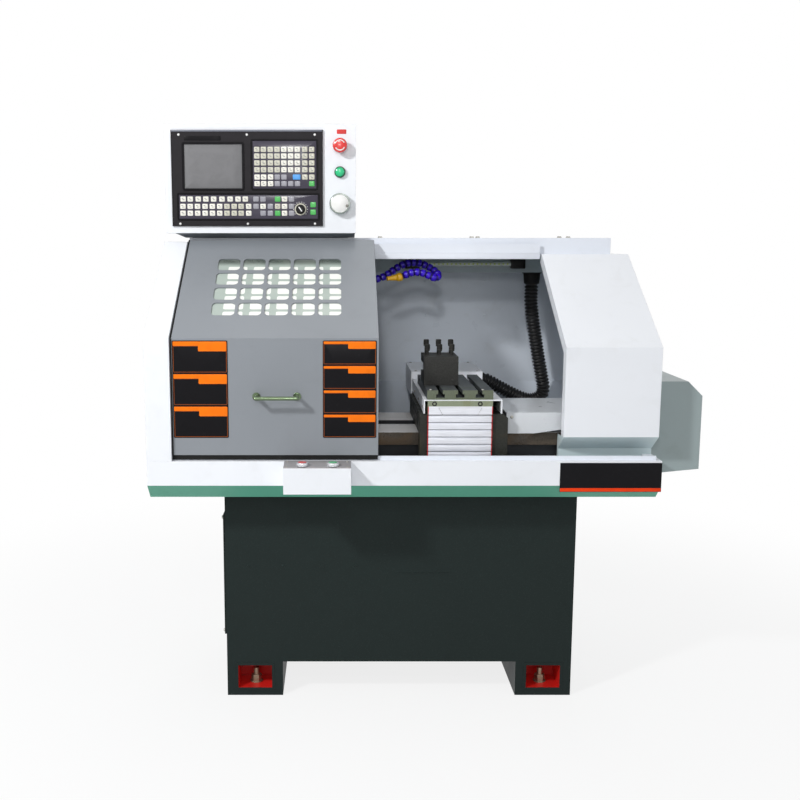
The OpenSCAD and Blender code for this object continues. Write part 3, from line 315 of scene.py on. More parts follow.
@dataclass(frozen=True)
class Steel(Coloured):
    """Bare or oiled metal with a machined grain along one axis."""

    roughness: float = 0.32
    metallic: float = 0.9
    grain: Point = (1, 1, 1)
    lines: float = 0.012
    stain: Colour = srgb(92, 78, 58)
    stained: float = 0.3
    pits: float = 0.0
    edge: float = 0.6
    gloss: float = 0.5

    def inputs(self, graph: Graph) -> Inputs:
        """Returns the metal, with fine lines, oily patches, small pits and bright edges."""
        lines, clouds = graph.noise(420, 3, stretch=self.grain), graph.noise(14, 6, warp=1.2)
        film = clouds.step(0.5, 0.72) * self.stained
        colour = graph.mix(self.colour, self.tone(1.25, 0.02), lines.step(0.3, 0.7) * 0.5)
        colour = graph.mix(colour, self.stain, film)
        height = lines * self.lines
        if self.pits:
            spots = (1 - graph.cells(95).step(0.06, 0.16)) * graph.noise(33, 2).step(0.5, 0.62)
            colour = graph.mix(colour, shaded(self.stain, 0.12), spots * self.pits)
            height = height - spots * 0.05
        rubbed = graph.edge_mask(1.2) * clouds.step(0.3, 0.6)
        colour = graph.mix(colour, self.tone(1.7, 0.08), rubbed * 0.5)
        return dict(
            Base_Color=colour,
            Metallic=self.metallic - film * 0.6,
            Roughness=self.roughness + lines * 0.14 + film * 0.2,
            Specular_IOR_Level=self.gloss,
            Normal=graph.bump(height, 1.0, edge=self.edge),
        )


@dataclass(frozen=True)
class Casting(Coloured):
    """Rough cast iron, bare or painted, with an oily film."""

    oil: float = 0.4
    roughness: float = 0.5

    def inputs(self, graph: Graph) -> Inputs:
        """Returns the casting, with a sand-cast skin, rust-brown clouds and wet patches."""
        sand, clouds, wet = graph.noise(260, 5), graph.noise(9, 6, warp=1.0), graph.noise(23, 4, warp=2.0)
        colour = graph.mix(self.colour, self.tone(0.55), sand.step(0.35, 0.7) * 0.6)
        colour = graph.mix(colour, self.tone((1.5, 1.2, 0.8)), clouds.step(0.48, 0.7) * 0.7)
        worn = graph.edge_mask(1.8) * clouds.step(0.3, 0.6)
        colour = graph.mix(colour, self.tone(2.2, 0.03), worn * 0.35)
        return dict(
            Base_Color=colour,
            Metallic=worn * 0.5 + 0.08,
            Specular_IOR_Level=0.2,
            Roughness=self.roughness - wet.step(0.45, 0.7) * self.oil * 0.6 + sand * 0.15,
            Normal=graph.bump(sand, 0.35, edge=1.6),
        )


@dataclass(frozen=True)
class Moulded(Coloured):
    """Plastic, rubber or film with a fine grain."""

    roughness: float = 0.4
    grain: float = 0.02
    coat: float = 0.0
    dust: float = 0.15
    gloss: float = 0.5

    def inputs(self, graph: Graph) -> Inputs:
        """Returns the plastic, with a fine texture, finger grease and a little dust."""
        fine, grease = graph.noise(900, 2), graph.noise(30, 4, warp=0.8)
        colour = graph.mix(self.colour, self.tone(0.82), grease.step(0.4, 0.7) * 0.5)
        colour = graph.mix(colour, self.tone(0.75, 0.12), graph.noise(75, 5).step(0.58, 0.8) * self.dust)
        return dict(
            Base_Color=colour,
            Roughness=self.roughness + grease * 0.16 - 0.05,
            Coat_Weight=self.coat,
            Coat_Roughness=0.12,
            Specular_IOR_Level=self.gloss,
            Normal=graph.bump(fine, self.grain, edge=0.4),
        )


@dataclass(frozen=True)
class Grilled(Coloured):
    """Clear sheet behind a pierced plate, with the light that falls on it through the holes."""

    # shade is the plate's painted shadow on the sheet, and deep the painted shade along its top row.
    shade: Colour
    deep: Colour
    corner: Pair
    pitch: Pair
    share: Pair = (0.85, 0.96)
    count: tuple[int, int] = (5, 4)
    roughness: float = 0.2

    def lit(self, place: Value, share: float, count: int) -> Value:
        """Returns 1 in the lit part of each field in a row, whose places run up by 1 each."""
        within = place.fraction()
        band = within.step(0.0, 0.13) * (1 - within.step(share - 0.13, share))
        return band * place.step(-0.01, 0.01) * (1 - place.step(count, count + 0.02))

    def inputs(self, graph: Graph) -> Inputs:
        """Returns the sheet, pale in the lit fields and greener and clearer in the plate's shade."""
        places = [(graph.along(axis) - corner * MM) * (1 / (pitch * MM))
                  for axis, corner, pitch in zip((0, 2), self.corner, self.pitch)]
        fields = [self.lit(place, self.share[i], self.count[i]) for i, place in enumerate(places)]
        lit = (fields[0] * fields[1]).step(0.25, 0.45)
        # The top row's upper part takes the deep colour: painted shade.
        high = places[1].step(self.count[1] - 0.1, self.count[1] + 0.3)
        haze, wipes = graph.noise(9, 4, warp=0.7), graph.noise(60, 3, stretch=(0.2, 1, 1))
        shade = graph.mix(graph.mix(self.shade, self.deep, high), self.colour, haze.step(0.45, 0.8) * 0.25)
        return dict(
            Base_Color=graph.mix(shade, self.colour, lit),
            Alpha=lit * 0.14 + (1 - high) * 0.12 + 0.74,
            Roughness=self.roughness + wipes * 0.1,
            Normal=graph.bump(wipes, 0.01),
        )


@dataclass(frozen=True)
class Ringed(Coloured):
    """A flexible tube's surface, whose tone follows the piece's own length and girth."""

    groove_shade: Colour
    pitch: float
    length: float
    roughness: float = 0.35

    def inputs(self, graph: Graph) -> Inputs:
        """Returns the tube's plastic, darker and duller in its grooves."""
        uv = graph.node("ShaderNodeUVMap", {"uv_map": "UVMap"}).outputs[0]
        along = Value(graph, graph.node("ShaderNodeSeparateXYZ", {}, {0: uv}).outputs[0])
        wave = (along * (self.length / self.pitch)).fraction()
        # Painted shade: the grooves are darkened towards the groove colour.
        shaded_valley = wave.step(0.62, 0.95) + (1 - wave.step(0.05, 0.38)) * 0.9
        grease = graph.noise(40, 4)
        return dict(
            Base_Color=graph.mix(self.colour, self.groove_shade, shaded_valley),
            Roughness=self.roughness + grease * 0.15 + shaded_valley * 0.2,
            Specular_IOR_Level=0.4,
            Normal=graph.bump(graph.noise(700, 2), 0.03),
        )


WHITE = Paint("white_enamel", (238, 241, 246), Slot.WHITE, roughness=0.34, soil=0.1)
ROOF_WHITE = Paint("roof_enamel", (234, 239, 248), Slot.WHITE, roughness=0.36, soil=0.1)
DOOR_GREY = Paint("door_grey_enamel", (136, 141, 147), Slot.GREY, roughness=0.33, peel=0.02, soil=0.1,
                  wear=0.15)
SKIRT_GREEN = Paint("tray_green_enamel", (90, 168, 142), Slot.GREEN, roughness=0.35, soil=0.15, gloss=0.35)
STAND_DARK = Paint("stand_hammer_enamel", (33, 42, 41), Slot.DARK, roughness=0.45, peel=0.1, soil=0.12,
                   speckle=0.1, gloss=0.12)
POCKET_RED = Paint("pocket_red_enamel", (206, 34, 28), Slot.RED, roughness=0.42, soil=0.5, wear=0.5)
INSIDE_GREY = Paint("inside_grey_enamel", (206, 213, 222), Slot.INTERIOR, roughness=0.3, soil=0.25)
INSIDE_DARK = Paint("duct_grey_enamel", (164, 177, 181), Slot.INTERIOR, roughness=0.36, soil=0.3)
SIDE_GREY = Paint("end_box_enamel", (152, 165, 166), Slot.INTERIOR, roughness=0.38, soil=0.2)
SILL_GREY = Paint("console_sill_enamel", (92, 97, 104), Slot.GREY, roughness=0.4, soil=0.15)
# The teal tint of the right housing's foot is a painted reflection of the green skirt below it.
FOOT_TEAL_REFLECTION = Paint("housing_foot_painted_reflection", (206, 222, 225), Slot.WHITE, roughness=0.34, soil=0.12)
MOTOR_BLUE = Paint("motor_blue_enamel", (58, 84, 110), Slot.BLUE, roughness=0.4, peel=0.08, soil=0.4)
PUMP_GREEN = Paint("pump_green_enamel", (48, 92, 74), Slot.GREEN, roughness=0.4, peel=0.08, soil=0.4)
HEAD_GREY = Paint("headstock_enamel", (126, 140, 138), Slot.INTERIOR, roughness=0.42, peel=0.15, soil=0.4,
                  wear=0.5)
ZINC = Paint("zinc_plating", (196, 190, 158), Slot.BRIGHT, roughness=0.3, soil=0.2)
# The bed is coloured nearly black below the way flange and behind its front face.
BED_DARK = Paint("bed_near_black", (34, 36, 40), Slot.CASTING, roughness=0.4, soil=0.4)
COVER_WHITE = Paint("way_cover_enamel", (214, 218, 222), Slot.WHITE, roughness=0.3, soil=0.2)

WAY_STEEL = Steel("ground_ways", (246, 242, 239), Slot.GROUND, roughness=0.34, metallic=0.1,
                  grain=(0.04, 1, 1), pits=0.9, stained=0.12)
DISC_STEEL = Steel("turned_steel", (168, 168, 168), Slot.GROUND, roughness=0.26, stained=0.15)
SCREW_STEEL = Steel("screw_steel", (178, 176, 170), Slot.GROUND, roughness=0.22, stained=0.35)
BLACK_STEEL = Steel("blackened_steel", (33, 33, 31), Slot.OILED, roughness=0.42, metallic=0.2,
                    stain=srgb(56, 54, 44), gloss=0.3)
TABLE_STEEL = Steel("table_top_steel", (66, 70, 72), Slot.OILED, roughness=0.4, metallic=0.4,
                    grain=(1, 0.08, 1), stain=srgb(78, 90, 70), stained=0.3, edge=0.5, gloss=0.4)
SLIDE_STEEL = Steel("slide_front_steel", (126, 134, 112), Slot.CASTING, roughness=0.42, metallic=0.3,
                    stain=srgb(112, 110, 58), stained=0.6)
SLAT_ALLOY = Steel("slat_alloy", (220, 222, 229), Slot.GROUND, roughness=0.3, metallic=0.35,
                   grain=(0.05, 1, 1), stained=0.04)
# The polished steel's green tint is a painted reflection of the green surroundings.
BRIGHT = Steel("polished_steel_green_reflection", (104, 120, 94), Slot.BRIGHT, roughness=0.14, stained=0.05, lines=0.003)
PLATE_STEEL = Steel("brushed_plate", (172, 170, 172), Slot.GROUND, roughness=0.34, metallic=0.4,
                    grain=(0.03, 1, 1), stained=0.08)
TABLE_EDGE = Steel("table_front_steel", (88, 95, 78), Slot.CASTING, roughness=0.42, metallic=0.3,
                   stain=srgb(84, 90, 62), stained=0.8, gloss=0.4)
FOOT_STEEL = Steel("foot_bolt_steel", (150, 138, 118), Slot.OILED, roughness=0.4, stained=0.6)
RING_SILVER = Steel("button_ring", (206, 208, 212), Slot.PLASTIC, roughness=0.2, metallic=0.6, stained=0.03)
WHEEL_CHROME = Steel("wheel_chrome", (176, 184, 178), Slot.PLASTIC, roughness=0.16, stained=0.05)

BED_IRON = Casting("bed_iron", (84, 74, 62), Slot.CASTING, oil=0.6)
SADDLE_IRON = Casting("saddle_iron", (48, 49, 45), Slot.CASTING, oil=0.5)
PULLEY_IRON = Casting("pulley_iron", (86, 88, 90), Slot.CASTING, oil=0.3)

PANEL_BLACK = Moulded("panel_black", (38, 36, 39), Slot.BLACK, roughness=0.4, grain=0.015, dust=0.04,
                      gloss=0.12)
CAVITY_BLACK = Moulded("key_bed_film", (64, 60, 74), Slot.BLACK, roughness=0.2, coat=0.15, dust=0.05,
                       gloss=0.3)
SCREEN_GREY = Moulded("dark_display", (122, 122, 124), Slot.PLASTIC, roughness=0.3, grain=0.002, dust=0.02,
                      gloss=0.15)
BLACK_PLASTIC = Moulded("black_plastic", (20, 20, 21), Slot.BLACK, roughness=0.42, dust=0.05, gloss=0.2)
RUBBER = Moulded("black_rubber", (20, 20, 20), Slot.RUBBER, roughness=0.55, grain=0.05, dust=0.08,
                 gloss=0.2)
RED_PLASTIC = Moulded("stop_red", (222, 34, 28), Slot.RED_PLASTIC, roughness=0.24, coat=0.5, dust=0.03)
GREEN_PLASTIC = Moulded("start_green", (8, 196, 128), Slot.GREEN_PLASTIC, roughness=0.2, coat=0.6,
                        dust=0.02)
WHITE_PLASTIC = Moulded("white_plastic", (240, 240, 238), Slot.PLASTIC, roughness=0.3, coat=0.2, dust=0.05)
PRINT_ORANGE, PRINT_LINE, STRIPE_RED = (
    Moulded(name, display, Slot.RED_PLASTIC, roughness=0.32, dust=0.02, gloss=0.2) for name, display in (
        ("plate_orange", (252, 122, 8)), ("plate_outline", (158, 78, 28)), ("name_stripe", (238, 62, 6))))
PRINT_BLACK = Moulded("plate_black", (19, 18, 21), Slot.BLACK, roughness=0.3, dust=0.03, gloss=0.1)
LABEL_RED = Moulded("label_red", (214, 36, 32), Slot.RED_PLASTIC, roughness=0.35)
EDGE_RED = Moulded("slat_edge_red", (190, 30, 36), Slot.RED_PLASTIC, roughness=0.4)
NOZZLE_ORANGE = Moulded("nozzle_orange", (255, 196, 12), Slot.HOSE, roughness=0.25, coat=0.4, dust=0.02)
LAMP_CLEAR = Moulded("lamp_diffuser", (206, 214, 208), Slot.LAMP, roughness=0.25, coat=0.3)
LAMP_GREEN = Moulded("lamp_chip", (196, 214, 90), Slot.LAMP, roughness=0.3)
DRIVE_DARK = Moulded("drive_case", (56, 58, 62), Slot.GREY, roughness=0.4, gloss=0.3)
STRIP_GREY = Moulded("strip_grey", (112, 116, 128), Slot.BLACK, roughness=0.3)
STOP_DULL = Moulded("stop_button_red", (206, 84, 84), Slot.RED_PLASTIC, roughness=0.3, coat=0.3, dust=0.1)
RUN_DULL = Moulded("run_button_green", (84, 170, 120), Slot.GREEN_PLASTIC, roughness=0.3, coat=0.3,
                   dust=0.1)
START_RING = Moulded("start_ring", (24, 66, 46), Slot.BLACK, roughness=0.3)
PIN_GREY = Moulded("wheel_pin", (130, 128, 120), Slot.PLASTIC, roughness=0.3)
KEY_PRINT = Moulded("key_print", (120, 120, 124), Slot.PLASTIC, roughness=0.35)

KEYS = {
    group: Moulded(name, display, slot, roughness=0.3, coat=0.3) for group, name, display, slot in (
        ("white", "key_white", (238, 236, 226), Slot.PLASTIC),
        ("beige", "key_beige", (206, 204, 188), Slot.PLASTIC),
        ("grey", "key_grey", (152, 151, 160), Slot.PLASTIC),
        ("green", "key_green", (72, 180, 84), Slot.GREEN_PLASTIC),
        ("wide", "key_blue", (74, 158, 232), Slot.PLASTIC),
    )
}

# The window sheet's lit fields, the plate's shadow on it and its darker top row are painted light and shade.
WINDOW_SHEET = Grilled("window_sheet", (246, 248, 242), Slot.CLEAR, shade=srgb(184, 197, 189),
                       deep=srgb(92, 103, 96), corner=(-533.2, 1020.4), pitch=(68.5, 36.7))


@dataclass(frozen=True)
class Zoned:
    """One finish up to a level along an axis, and another past it."""

    name: str
    slot: Slot
    below: "Finish"
    above: "Finish"
    axis: int
    level: float

    def inputs(self, graph: Graph) -> Inputs:
        """Returns both finishes, changing over within half a millimetre at the level."""
        share = graph.along(self.axis).step((self.level - 0.25) * MM, (self.level + 0.25) * MM)
        first, second = self.below.inputs(graph), self.above.inputs(graph)
        mixed: Inputs = {
            "Base_Color": graph.mix(first["Base_Color"], second["Base_Color"], share),
            "Normal": graph.blend(first["Normal"], second["Normal"], share),
        }
        for key in ("Metallic", "Roughness"):
            low, high = first.get(key, 0.0), second.get(key, 0.0)
            mixed[key] = share * high + (1 - share) * low
        return mixed


Finish = Union[Paint, Steel, Casting, Moulded, Grilled, Ringed, Zoned]
_made: dict[str, bpy.types.Material] = {}


def material_of(finish: Finish) -> bpy.types.Material:
    """Returns the finish's material, made the first time it is asked for."""
    if finish.name not in _made:
        graph = Graph(finish.name)
        _made[finish.name] = graph.surface(**finish.inputs(graph))
    return _made[finish.name]


# ---- Shapes ----


class Facing(Enum):
    """Which way a flat shape looks: its own right, up and outward directions in the model's frame."""

    TOP = ((1, 0, 0), (0, 1, 0), (0, 0, 1))
    UNDER = ((1, 0, 0), (0, -1, 0), (0, 0, -1))
    FRONT = ((1, 0, 0), (0, 0, 1), (0, -1, 0))
    BACK = ((-1, 0, 0), (0, 0, 1), (0, 1, 0))
    LEFT = ((0, -1, 0), (0, 0, 1), (-1, 0, 0))
    RIGHT = ((0, 1, 0), (0, 0, 1), (1, 0, 0))


TOP, UNDER, FRONT, BACK, LEFT, RIGHT = Facing
Axes = Union[Facing, np.ndarray]


class Body(Enum):
    """The CAD bodies that new pieces ride on."""

    FRAME = "frame"
    DOOR = "door"
    CARRIAGE = "carriage"
    SLIDE = "cross_slide"
    Z_SCREW = "z_screw"
    X_SCREW = "x_screw"
    SPINDLE = "spindle"
    HOSE = "coolant_hose"
    ESTOP = "estop_button"
    START = "start_button"
    WHEEL = "handwheel"
    KNOB = "override_knob"
    STOP = "stop_button"
    RUN = "run_button"
    CABINET_DOOR = "cabinet_door"


@dataclass(frozen=True)
class Shape:
    """Points in millimetres and four-sided faces of one or more closed skins."""

    points: np.ndarray
    quads: np.ndarray
    along: Optional[np.ndarray] = None

    @classmethod
    def grid(cls, points: np.ndarray, ring: bool = False) -> "Shape":
        """Skins a grid of points whose second direction closes on itself.

        Args:
            points: The grid, as an array of rows, columns and three coordinates.
            ring: True if the first direction closes on itself too.

        Returns:
            The skin, with each point's place along the first direction from 0 to 1.
        """
        rows, columns = points.shape[:2]
        index = np.arange(rows * columns).reshape(rows, columns)
        below, above = (index, np.roll(index, -1, 0)) if ring else (index[:-1], index[1:])
        quads = np.stack([below, np.roll(below, -1, 1), np.roll(above, -1, 1), above], -1).reshape(-1, 4)
        share = np.repeat(np.linspace(0, 1, rows), columns)
        return cls(points.reshape(-1, 3), quads, share)

    @classmethod
    def joined(cls, shapes: Iterable["Shape"]) -> "Shape":
        """Returns several shapes as one."""
        shapes = list(shapes)
        starts = np.cumsum([0] + [len(s.points) for s in shapes[:-1]])
        return cls(
            np.concatenate([s.points for s in shapes]),
            np.concatenate([s.quads + n for s, n in zip(shapes, starts)]),
        )

    def placed(self, at: Point, facing: Axes = TOP) -> "Shape":
        """Turns the shape to look a way, and moves its own origin to a point: p = at + [right up out] q."""
        axes = facing.value if isinstance(facing, Facing) else facing
        return Shape(self.points @ np.array(axes, float) + np.asarray(at, float), self.quads, self.along)

    def repeated(self, offsets: Point) -> "Shape":
        """Returns a copy of the shape at each of several offsets."""
        offsets = np.asarray(offsets, float).reshape(-1, 3)
        points = (self.points[None] + offsets[:, None]).reshape(-1, 3)
        quads = (self.quads[None] + len(self.points) * np.arange(len(offsets))[:, None, None]).reshape(-1, 4)
        return Shape(points, quads)

    def at(self, places: Point, facing: Axes = TOP) -> "Shape":
        """Returns the shape at each of several places, turned to look a way."""
        return self.placed((0, 0, 0), facing).repeated(places)

    def build(self, name: str, finish: "Finish", body: Body = Body.FRAME, replaces: Sequence[str] = (),
              smooth: float = 38.0, rides: bool = True) -> bpy.types.Object:
        """Makes the shape an object.

        Args:
            name: The piece's name.
            finish: What its surface is.
            body: The CAD body that it moves with.
            replaces: The CAD nodes that it stands for.
            smooth: The angle in degrees under which neighbouring faces shade as one.
            rides: False for a piece that is blended across a joint instead.

        Returns:
            The new object, at the origin, with its place in its mesh.
        """
        mesh = bpy.data.meshes.new(name)
        mesh.vertices.add(len(self.points))
        mesh.vertices.foreach_set("co", (self.points * MM).astype(np.float32).ravel())
        mesh.loops.add(self.quads.size)
        mesh.loops.foreach_set("vertex_index", self.quads.astype(np.int32).ravel())
        mesh.polygons.add(len(self.quads))
        mesh.polygons.foreach_set("loop_start", np.arange(0, self.quads.size, 4, dtype=np.int32))
        mesh.update(calc_edges=True)
        if self.along is not None:
            layer = mesh.uv_layers.new(name="UVMap")
            uv = np.stack([self.along[self.quads.ravel()], np.zeros(self.quads.size)], -1)
            layer.data.foreach_set("uv", uv.astype(np.float32).ravel())
        work = bmesh.new()
        work.from_mesh(mesh)
        bmesh.ops.remove_doubles(work, verts=work.verts, dist=2e-6)
        bmesh.ops.dissolve_degenerate(work, edges=work.edges, dist=1e-7)
        bmesh.ops.recalc_face_normals(work, faces=work.faces)
        work.to_mesh(mesh)
        work.free()
        mesh.polygons.foreach_set("use_smooth", np.ones(len(mesh.polygons), bool))
        mesh.set_sharp_from_angle(angle=math.radians(smooth))
        mesh.materials.append(material_of(finish))
        piece = linked(name, mesh)
        if rides:
            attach(piece, body.value)
        if replaces:
            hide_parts(*replaces)
        LOG.info("%s: %d faces, on %s", name, len(mesh.polygons), body.value)
        return piece


def outline(width: float, height: float, corner: float, steps: int = 4) -> np.ndarray:
    """Points round a rounded rectangle.

    Each corner's points are its centre plus corner * (cos a, sin a), for a over a quarter turn.

    Args:
        width: Overall width.
        height: Overall height.
        corner: Radius of the corners.
        steps: Faces in each corner.

    Returns:
        An array of points in the plane, anticlockwise, centred on the origin.
    """
    quarter = np.linspace(0, math.pi / 2, steps + 1)
    angles = (quarter[None] + np.arange(4)[:, None] * math.pi / 2).ravel()
    half = np.array([width / 2 - corner, height / 2 - corner])
    signs = np.repeat([[1, 1], [-1, 1], [-1, -1], [1, -1]], steps + 1, axis=0)
    return signs * half + corner * np.stack([np.cos(angles), np.sin(angles)], -1)


def raised(line: np.ndarray, height: float) -> np.ndarray:
    """Returns the points of a plane outline at a height."""
    return np.column_stack([line, np.full(len(line), height)])


def layered(rings: Sequence[np.ndarray]) -> Shape:
    """Rings of points joined one to the next, with a fan from its own middle over each end."""
    caps = [np.broadcast_to(ring.mean(0), ring.shape) for ring in (rings[0], rings[-1])]
    return Shape.grid(np.stack([caps[0], *rings, caps[1]]))


def prism(corners: Section, depth: float) -> Shape:
    """A flat plate with straight corners, standing on its own plane."""
    return layered([raised(np.array(corners, float), height) for height in (0.0, depth)])


def slab(width: float, height: float, depth: float, corner: float = 1.0, edge: float = 0.4,
         steps: int = 3, crown: float = 0.0) -> Shape:
    """A plate with rounded corners and softened edges, standing on its own plane.

    Rings of one outline, drawn in by edge at the top and bottom, are joined from one middle to the other;
    the top's middle stands crown higher.

    Args:
        width: Overall width.
        height: Overall height.
        depth: Thickness.
        corner: Radius of the corners.
        edge: Radius of the softened edges.
        steps: Faces in each corner.
        crown: Extra height of the top's middle.

    Returns:
        The closed shape, centred, with its underside at 0.
    """
    flat = outline(width, height, max(corner, edge * 1.01), steps)
    inner = outline(width - 2 * edge, height - 2 * edge, max(corner - edge, 0.01), steps)
    middle = np.zeros_like(flat)
    cut = edge * 0.3
    near = flat + (inner - flat) * 0.3
    rings = [(middle, 0), (inner, 0), (flat, edge), (flat, depth - edge), (near, depth - cut),
             (inner, depth), (inner * 0.5, depth + crown * 0.75), (middle, depth + crown)]
    return Shape.grid(np.stack([raised(ring, z) for ring, z in rings]))


def rim(width: float, height: float, band: float, depth: float, corner: float, edge: float = 0.5,
        steps: int = 5) -> Shape:
    """A rounded rectangular frame: the section of one band, carried round its outline.

    Args:
        width: Overall width.
        height: Overall height.
        band: Width of the band.
        depth: Thickness.
        corner: Radius of the outer corners.
        edge: Radius of the softened edges.
        steps: Faces in each corner.

    Returns:
        The closed ring, centred, with its underside at 0.
    """
    section = [(0, 0), (0, depth - edge), (edge, depth), (band - edge, depth), (band, depth - edge),
               (band, 0)]
    rings = [raised(outline(width - 2 * inset, height - 2 * inset, max(corner - inset, 0.05), steps), z)
             for inset, z in section]
    return Shape.grid(np.stack(rings), ring=True)


def turned(profile: Section, sides: int = 32, ripple: float = 0.0, lobes: int = 0,
           ring: bool = False) -> Shape:
    """A shape turned about its own Z: each profile point (r, z) becomes (r cos t, r sin t, z).

    The radius grows by ripple * cos(lobes * t), which knurls or flutes it.

    Args:
        profile: Radius and height pairs. A closed skin starts and ends at radius 0.
        sides: Points round the axis.
        ripple: Depth of the knurling.
        lobes: How many ridges the knurling has.
        ring: True for a closed section that stands clear of the axis.

    Returns:
        The turned shape.
    """
    radius, height = np.array(profile, float).T
    angle = np.arange(sides) * TAU / sides
    r = radius[:, None] + ripple * np.cos(lobes * angle)[None] * (radius > 0)[:, None]
    z = np.broadcast_to(height[:, None], r.shape)
    return Shape.grid(np.stack([r * np.cos(angle), r * np.sin(angle), z], -1), ring)


def hoop(section: Section, sides: int = 36) -> Shape:
    """A closed section of (r, z) pairs carried once round its own Z."""
    return turned(section, sides, ring=True)


def washer(inner: float, outer: float, height: float, edge: float = 0.6, sides: int = 36) -> Shape:
    """A flat ring with softened outer edges, standing on its own plane."""
    return hoop([(inner, 0), (outer, 0), (outer, height - edge), (outer - edge, height),
                 (inner + edge, height), (inner, height - edge)], sides)


def socket_screw(radius: float, head: float) -> Shape:
    """A round-headed screw with a socket in its top, standing on its own plane."""
    socket = radius * 0.45
    return turned([(0, 0), (radius, 0), (radius, head * 0.5), (radius * 0.8, head * 0.9),
                   (radius * 0.6, head), (socket, head), (socket, head * 0.4), (0, head * 0.4)], sides=14)


def hexagon(across: float, head: float) -> Shape:
    """A six-sided bolt head with a chamfered top."""
    r = across / math.sqrt(3)
    return turned([(0, 0), (r, 0), (r, head * 0.8), (r * 0.86, head), (0, head)], sides=6)


def carried(path: np.ndarray, radii: np.ndarray, sides: int = 16) -> Shape:
    """A round section carried along a path.

    At each point the section's plane is square to the path, and its first direction is the last one's,
    made square to the path again, so the skin doesn't twist: p = path + r (cos t u + sin t v).

    Args:
        path: Points of the path.
        radii: The section's radius at each point.
        sides: Points round the section.

    Returns:
        The tube, closed at both ends.
    """
    tangent = np.gradient(path, axis=0)
    tangent /= np.linalg.norm(tangent, axis=1)[:, None]
    sideways = np.empty_like(path)
    across = np.array([0.31, 0.87, 0.38])
    for i, way in enumerate(tangent):
        across = across - way * (across @ way)
        across /= np.linalg.norm(across)
        sideways[i] = across
    upward = np.cross(tangent, sideways)
    angle = np.arange(sides) * TAU / sides
    ring = np.cos(angle)[None, :, None] * sideways[:, None] + np.sin(angle)[None, :, None] * upward[:, None]
    return layered(path[:, None] + radii[:, None, None] * ring)


def smooth_path(points: Point, spacing: float) -> np.ndarray:
    """A smooth line through points, in even steps.

    Between points b and c, with a before and d after, the line is Catmull and Rom's cubic
    (2b + (c - a) t + (2a - 5b + 4c - d) t^2 + (3b - a - 3c + d) t^3) / 2.

    Args:
        points: The points it passes through.
        spacing: Distance between the steps.

    Returns:
        The points of the line.
    """
    p = np.asarray(points, float)
    p = np.concatenate([[2 * p[0] - p[1]], p, [2 * p[-1] - p[-2]]])
    t = np.linspace(0, 1, 24, endpoint=False)[None, :, None]
    a, b, c, d = (p[i : len(p) - 3 + i][:, None] for i in range(4))
    line = (2 * b + (c - a) * t + (2 * a - 5 * b + 4 * c - d) * t**2 + (3 * b - a - 3 * c + d) * t**3) / 2
    line = np.concatenate([line.reshape(-1, 3), p[-2][None]])
    run = np.concatenate([[0], np.cumsum(np.linalg.norm(np.diff(line, axis=0), axis=1))])
    at = np.linspace(0, run[-1], max(2, round(run[-1] / spacing) + 1))
    return np.stack([np.interp(at, run, line[:, i]) for i in range(3)], -1)


def path_length(path: np.ndarray) -> float:
    """Returns the length of a line through points."""
    return float(np.linalg.norm(np.diff(path, axis=0), axis=1).sum())


def threaded(radius: float, length: float, pitch: float, depth: float, rows: int, sides: int) -> Shape:
    """A threaded rod from its own plane upwards.

    The radius at height z and angle t is radius - depth (1 - cos(2 pi z / pitch - t)) / 2, one start of a
    right-hand thread, and the rod closes on its axis at both ends.

    Args:
        radius: Outer radius.
        length: Length of the rod.
        pitch: Distance between turns.
        depth: Depth of the thread.
        rows: Faces in each turn's section.
        sides: Faces round the rod.

    Returns:
        The rod.
    """
    height = np.linspace(0, length, max(4, round(rows * length / pitch)))[:, None]
    angle = (np.arange(sides) * TAU / sides)[None]
    r = radius - depth * (1 - np.cos(TAU * height / pitch - angle)) / 2
    skin = np.stack([r * np.cos(angle), r * np.sin(angle), height + 0 * angle], -1)
    ends = [np.zeros((1, sides, 3)) + (0, 0, z) for z in (0, length)]
    return Shape.grid(np.concatenate([ends[0], skin, ends[1]]))


def tilted(angle: float) -> np.ndarray:
    """Returns the right, up and outward directions of a level plane turned up about X, in radians."""
    across, up = math.cos(angle), math.sin(angle)
    return np.array([(1, 0, 0), (0, across, up), (0, -up, across)])


def arc(radius: float, start: float, end: float, thickness: float, steps: int = 18) -> Shape:
    """A round bead along an arc from one angle to another, in degrees, on its own plane."""
    angle = np.radians(np.linspace(start, end, steps))
    path = np.stack([radius * np.cos(angle), radius * np.sin(angle), 0 * angle], -1)
    return carried(path, np.full(steps, thickness), 8)


# ---- The CAD model ----


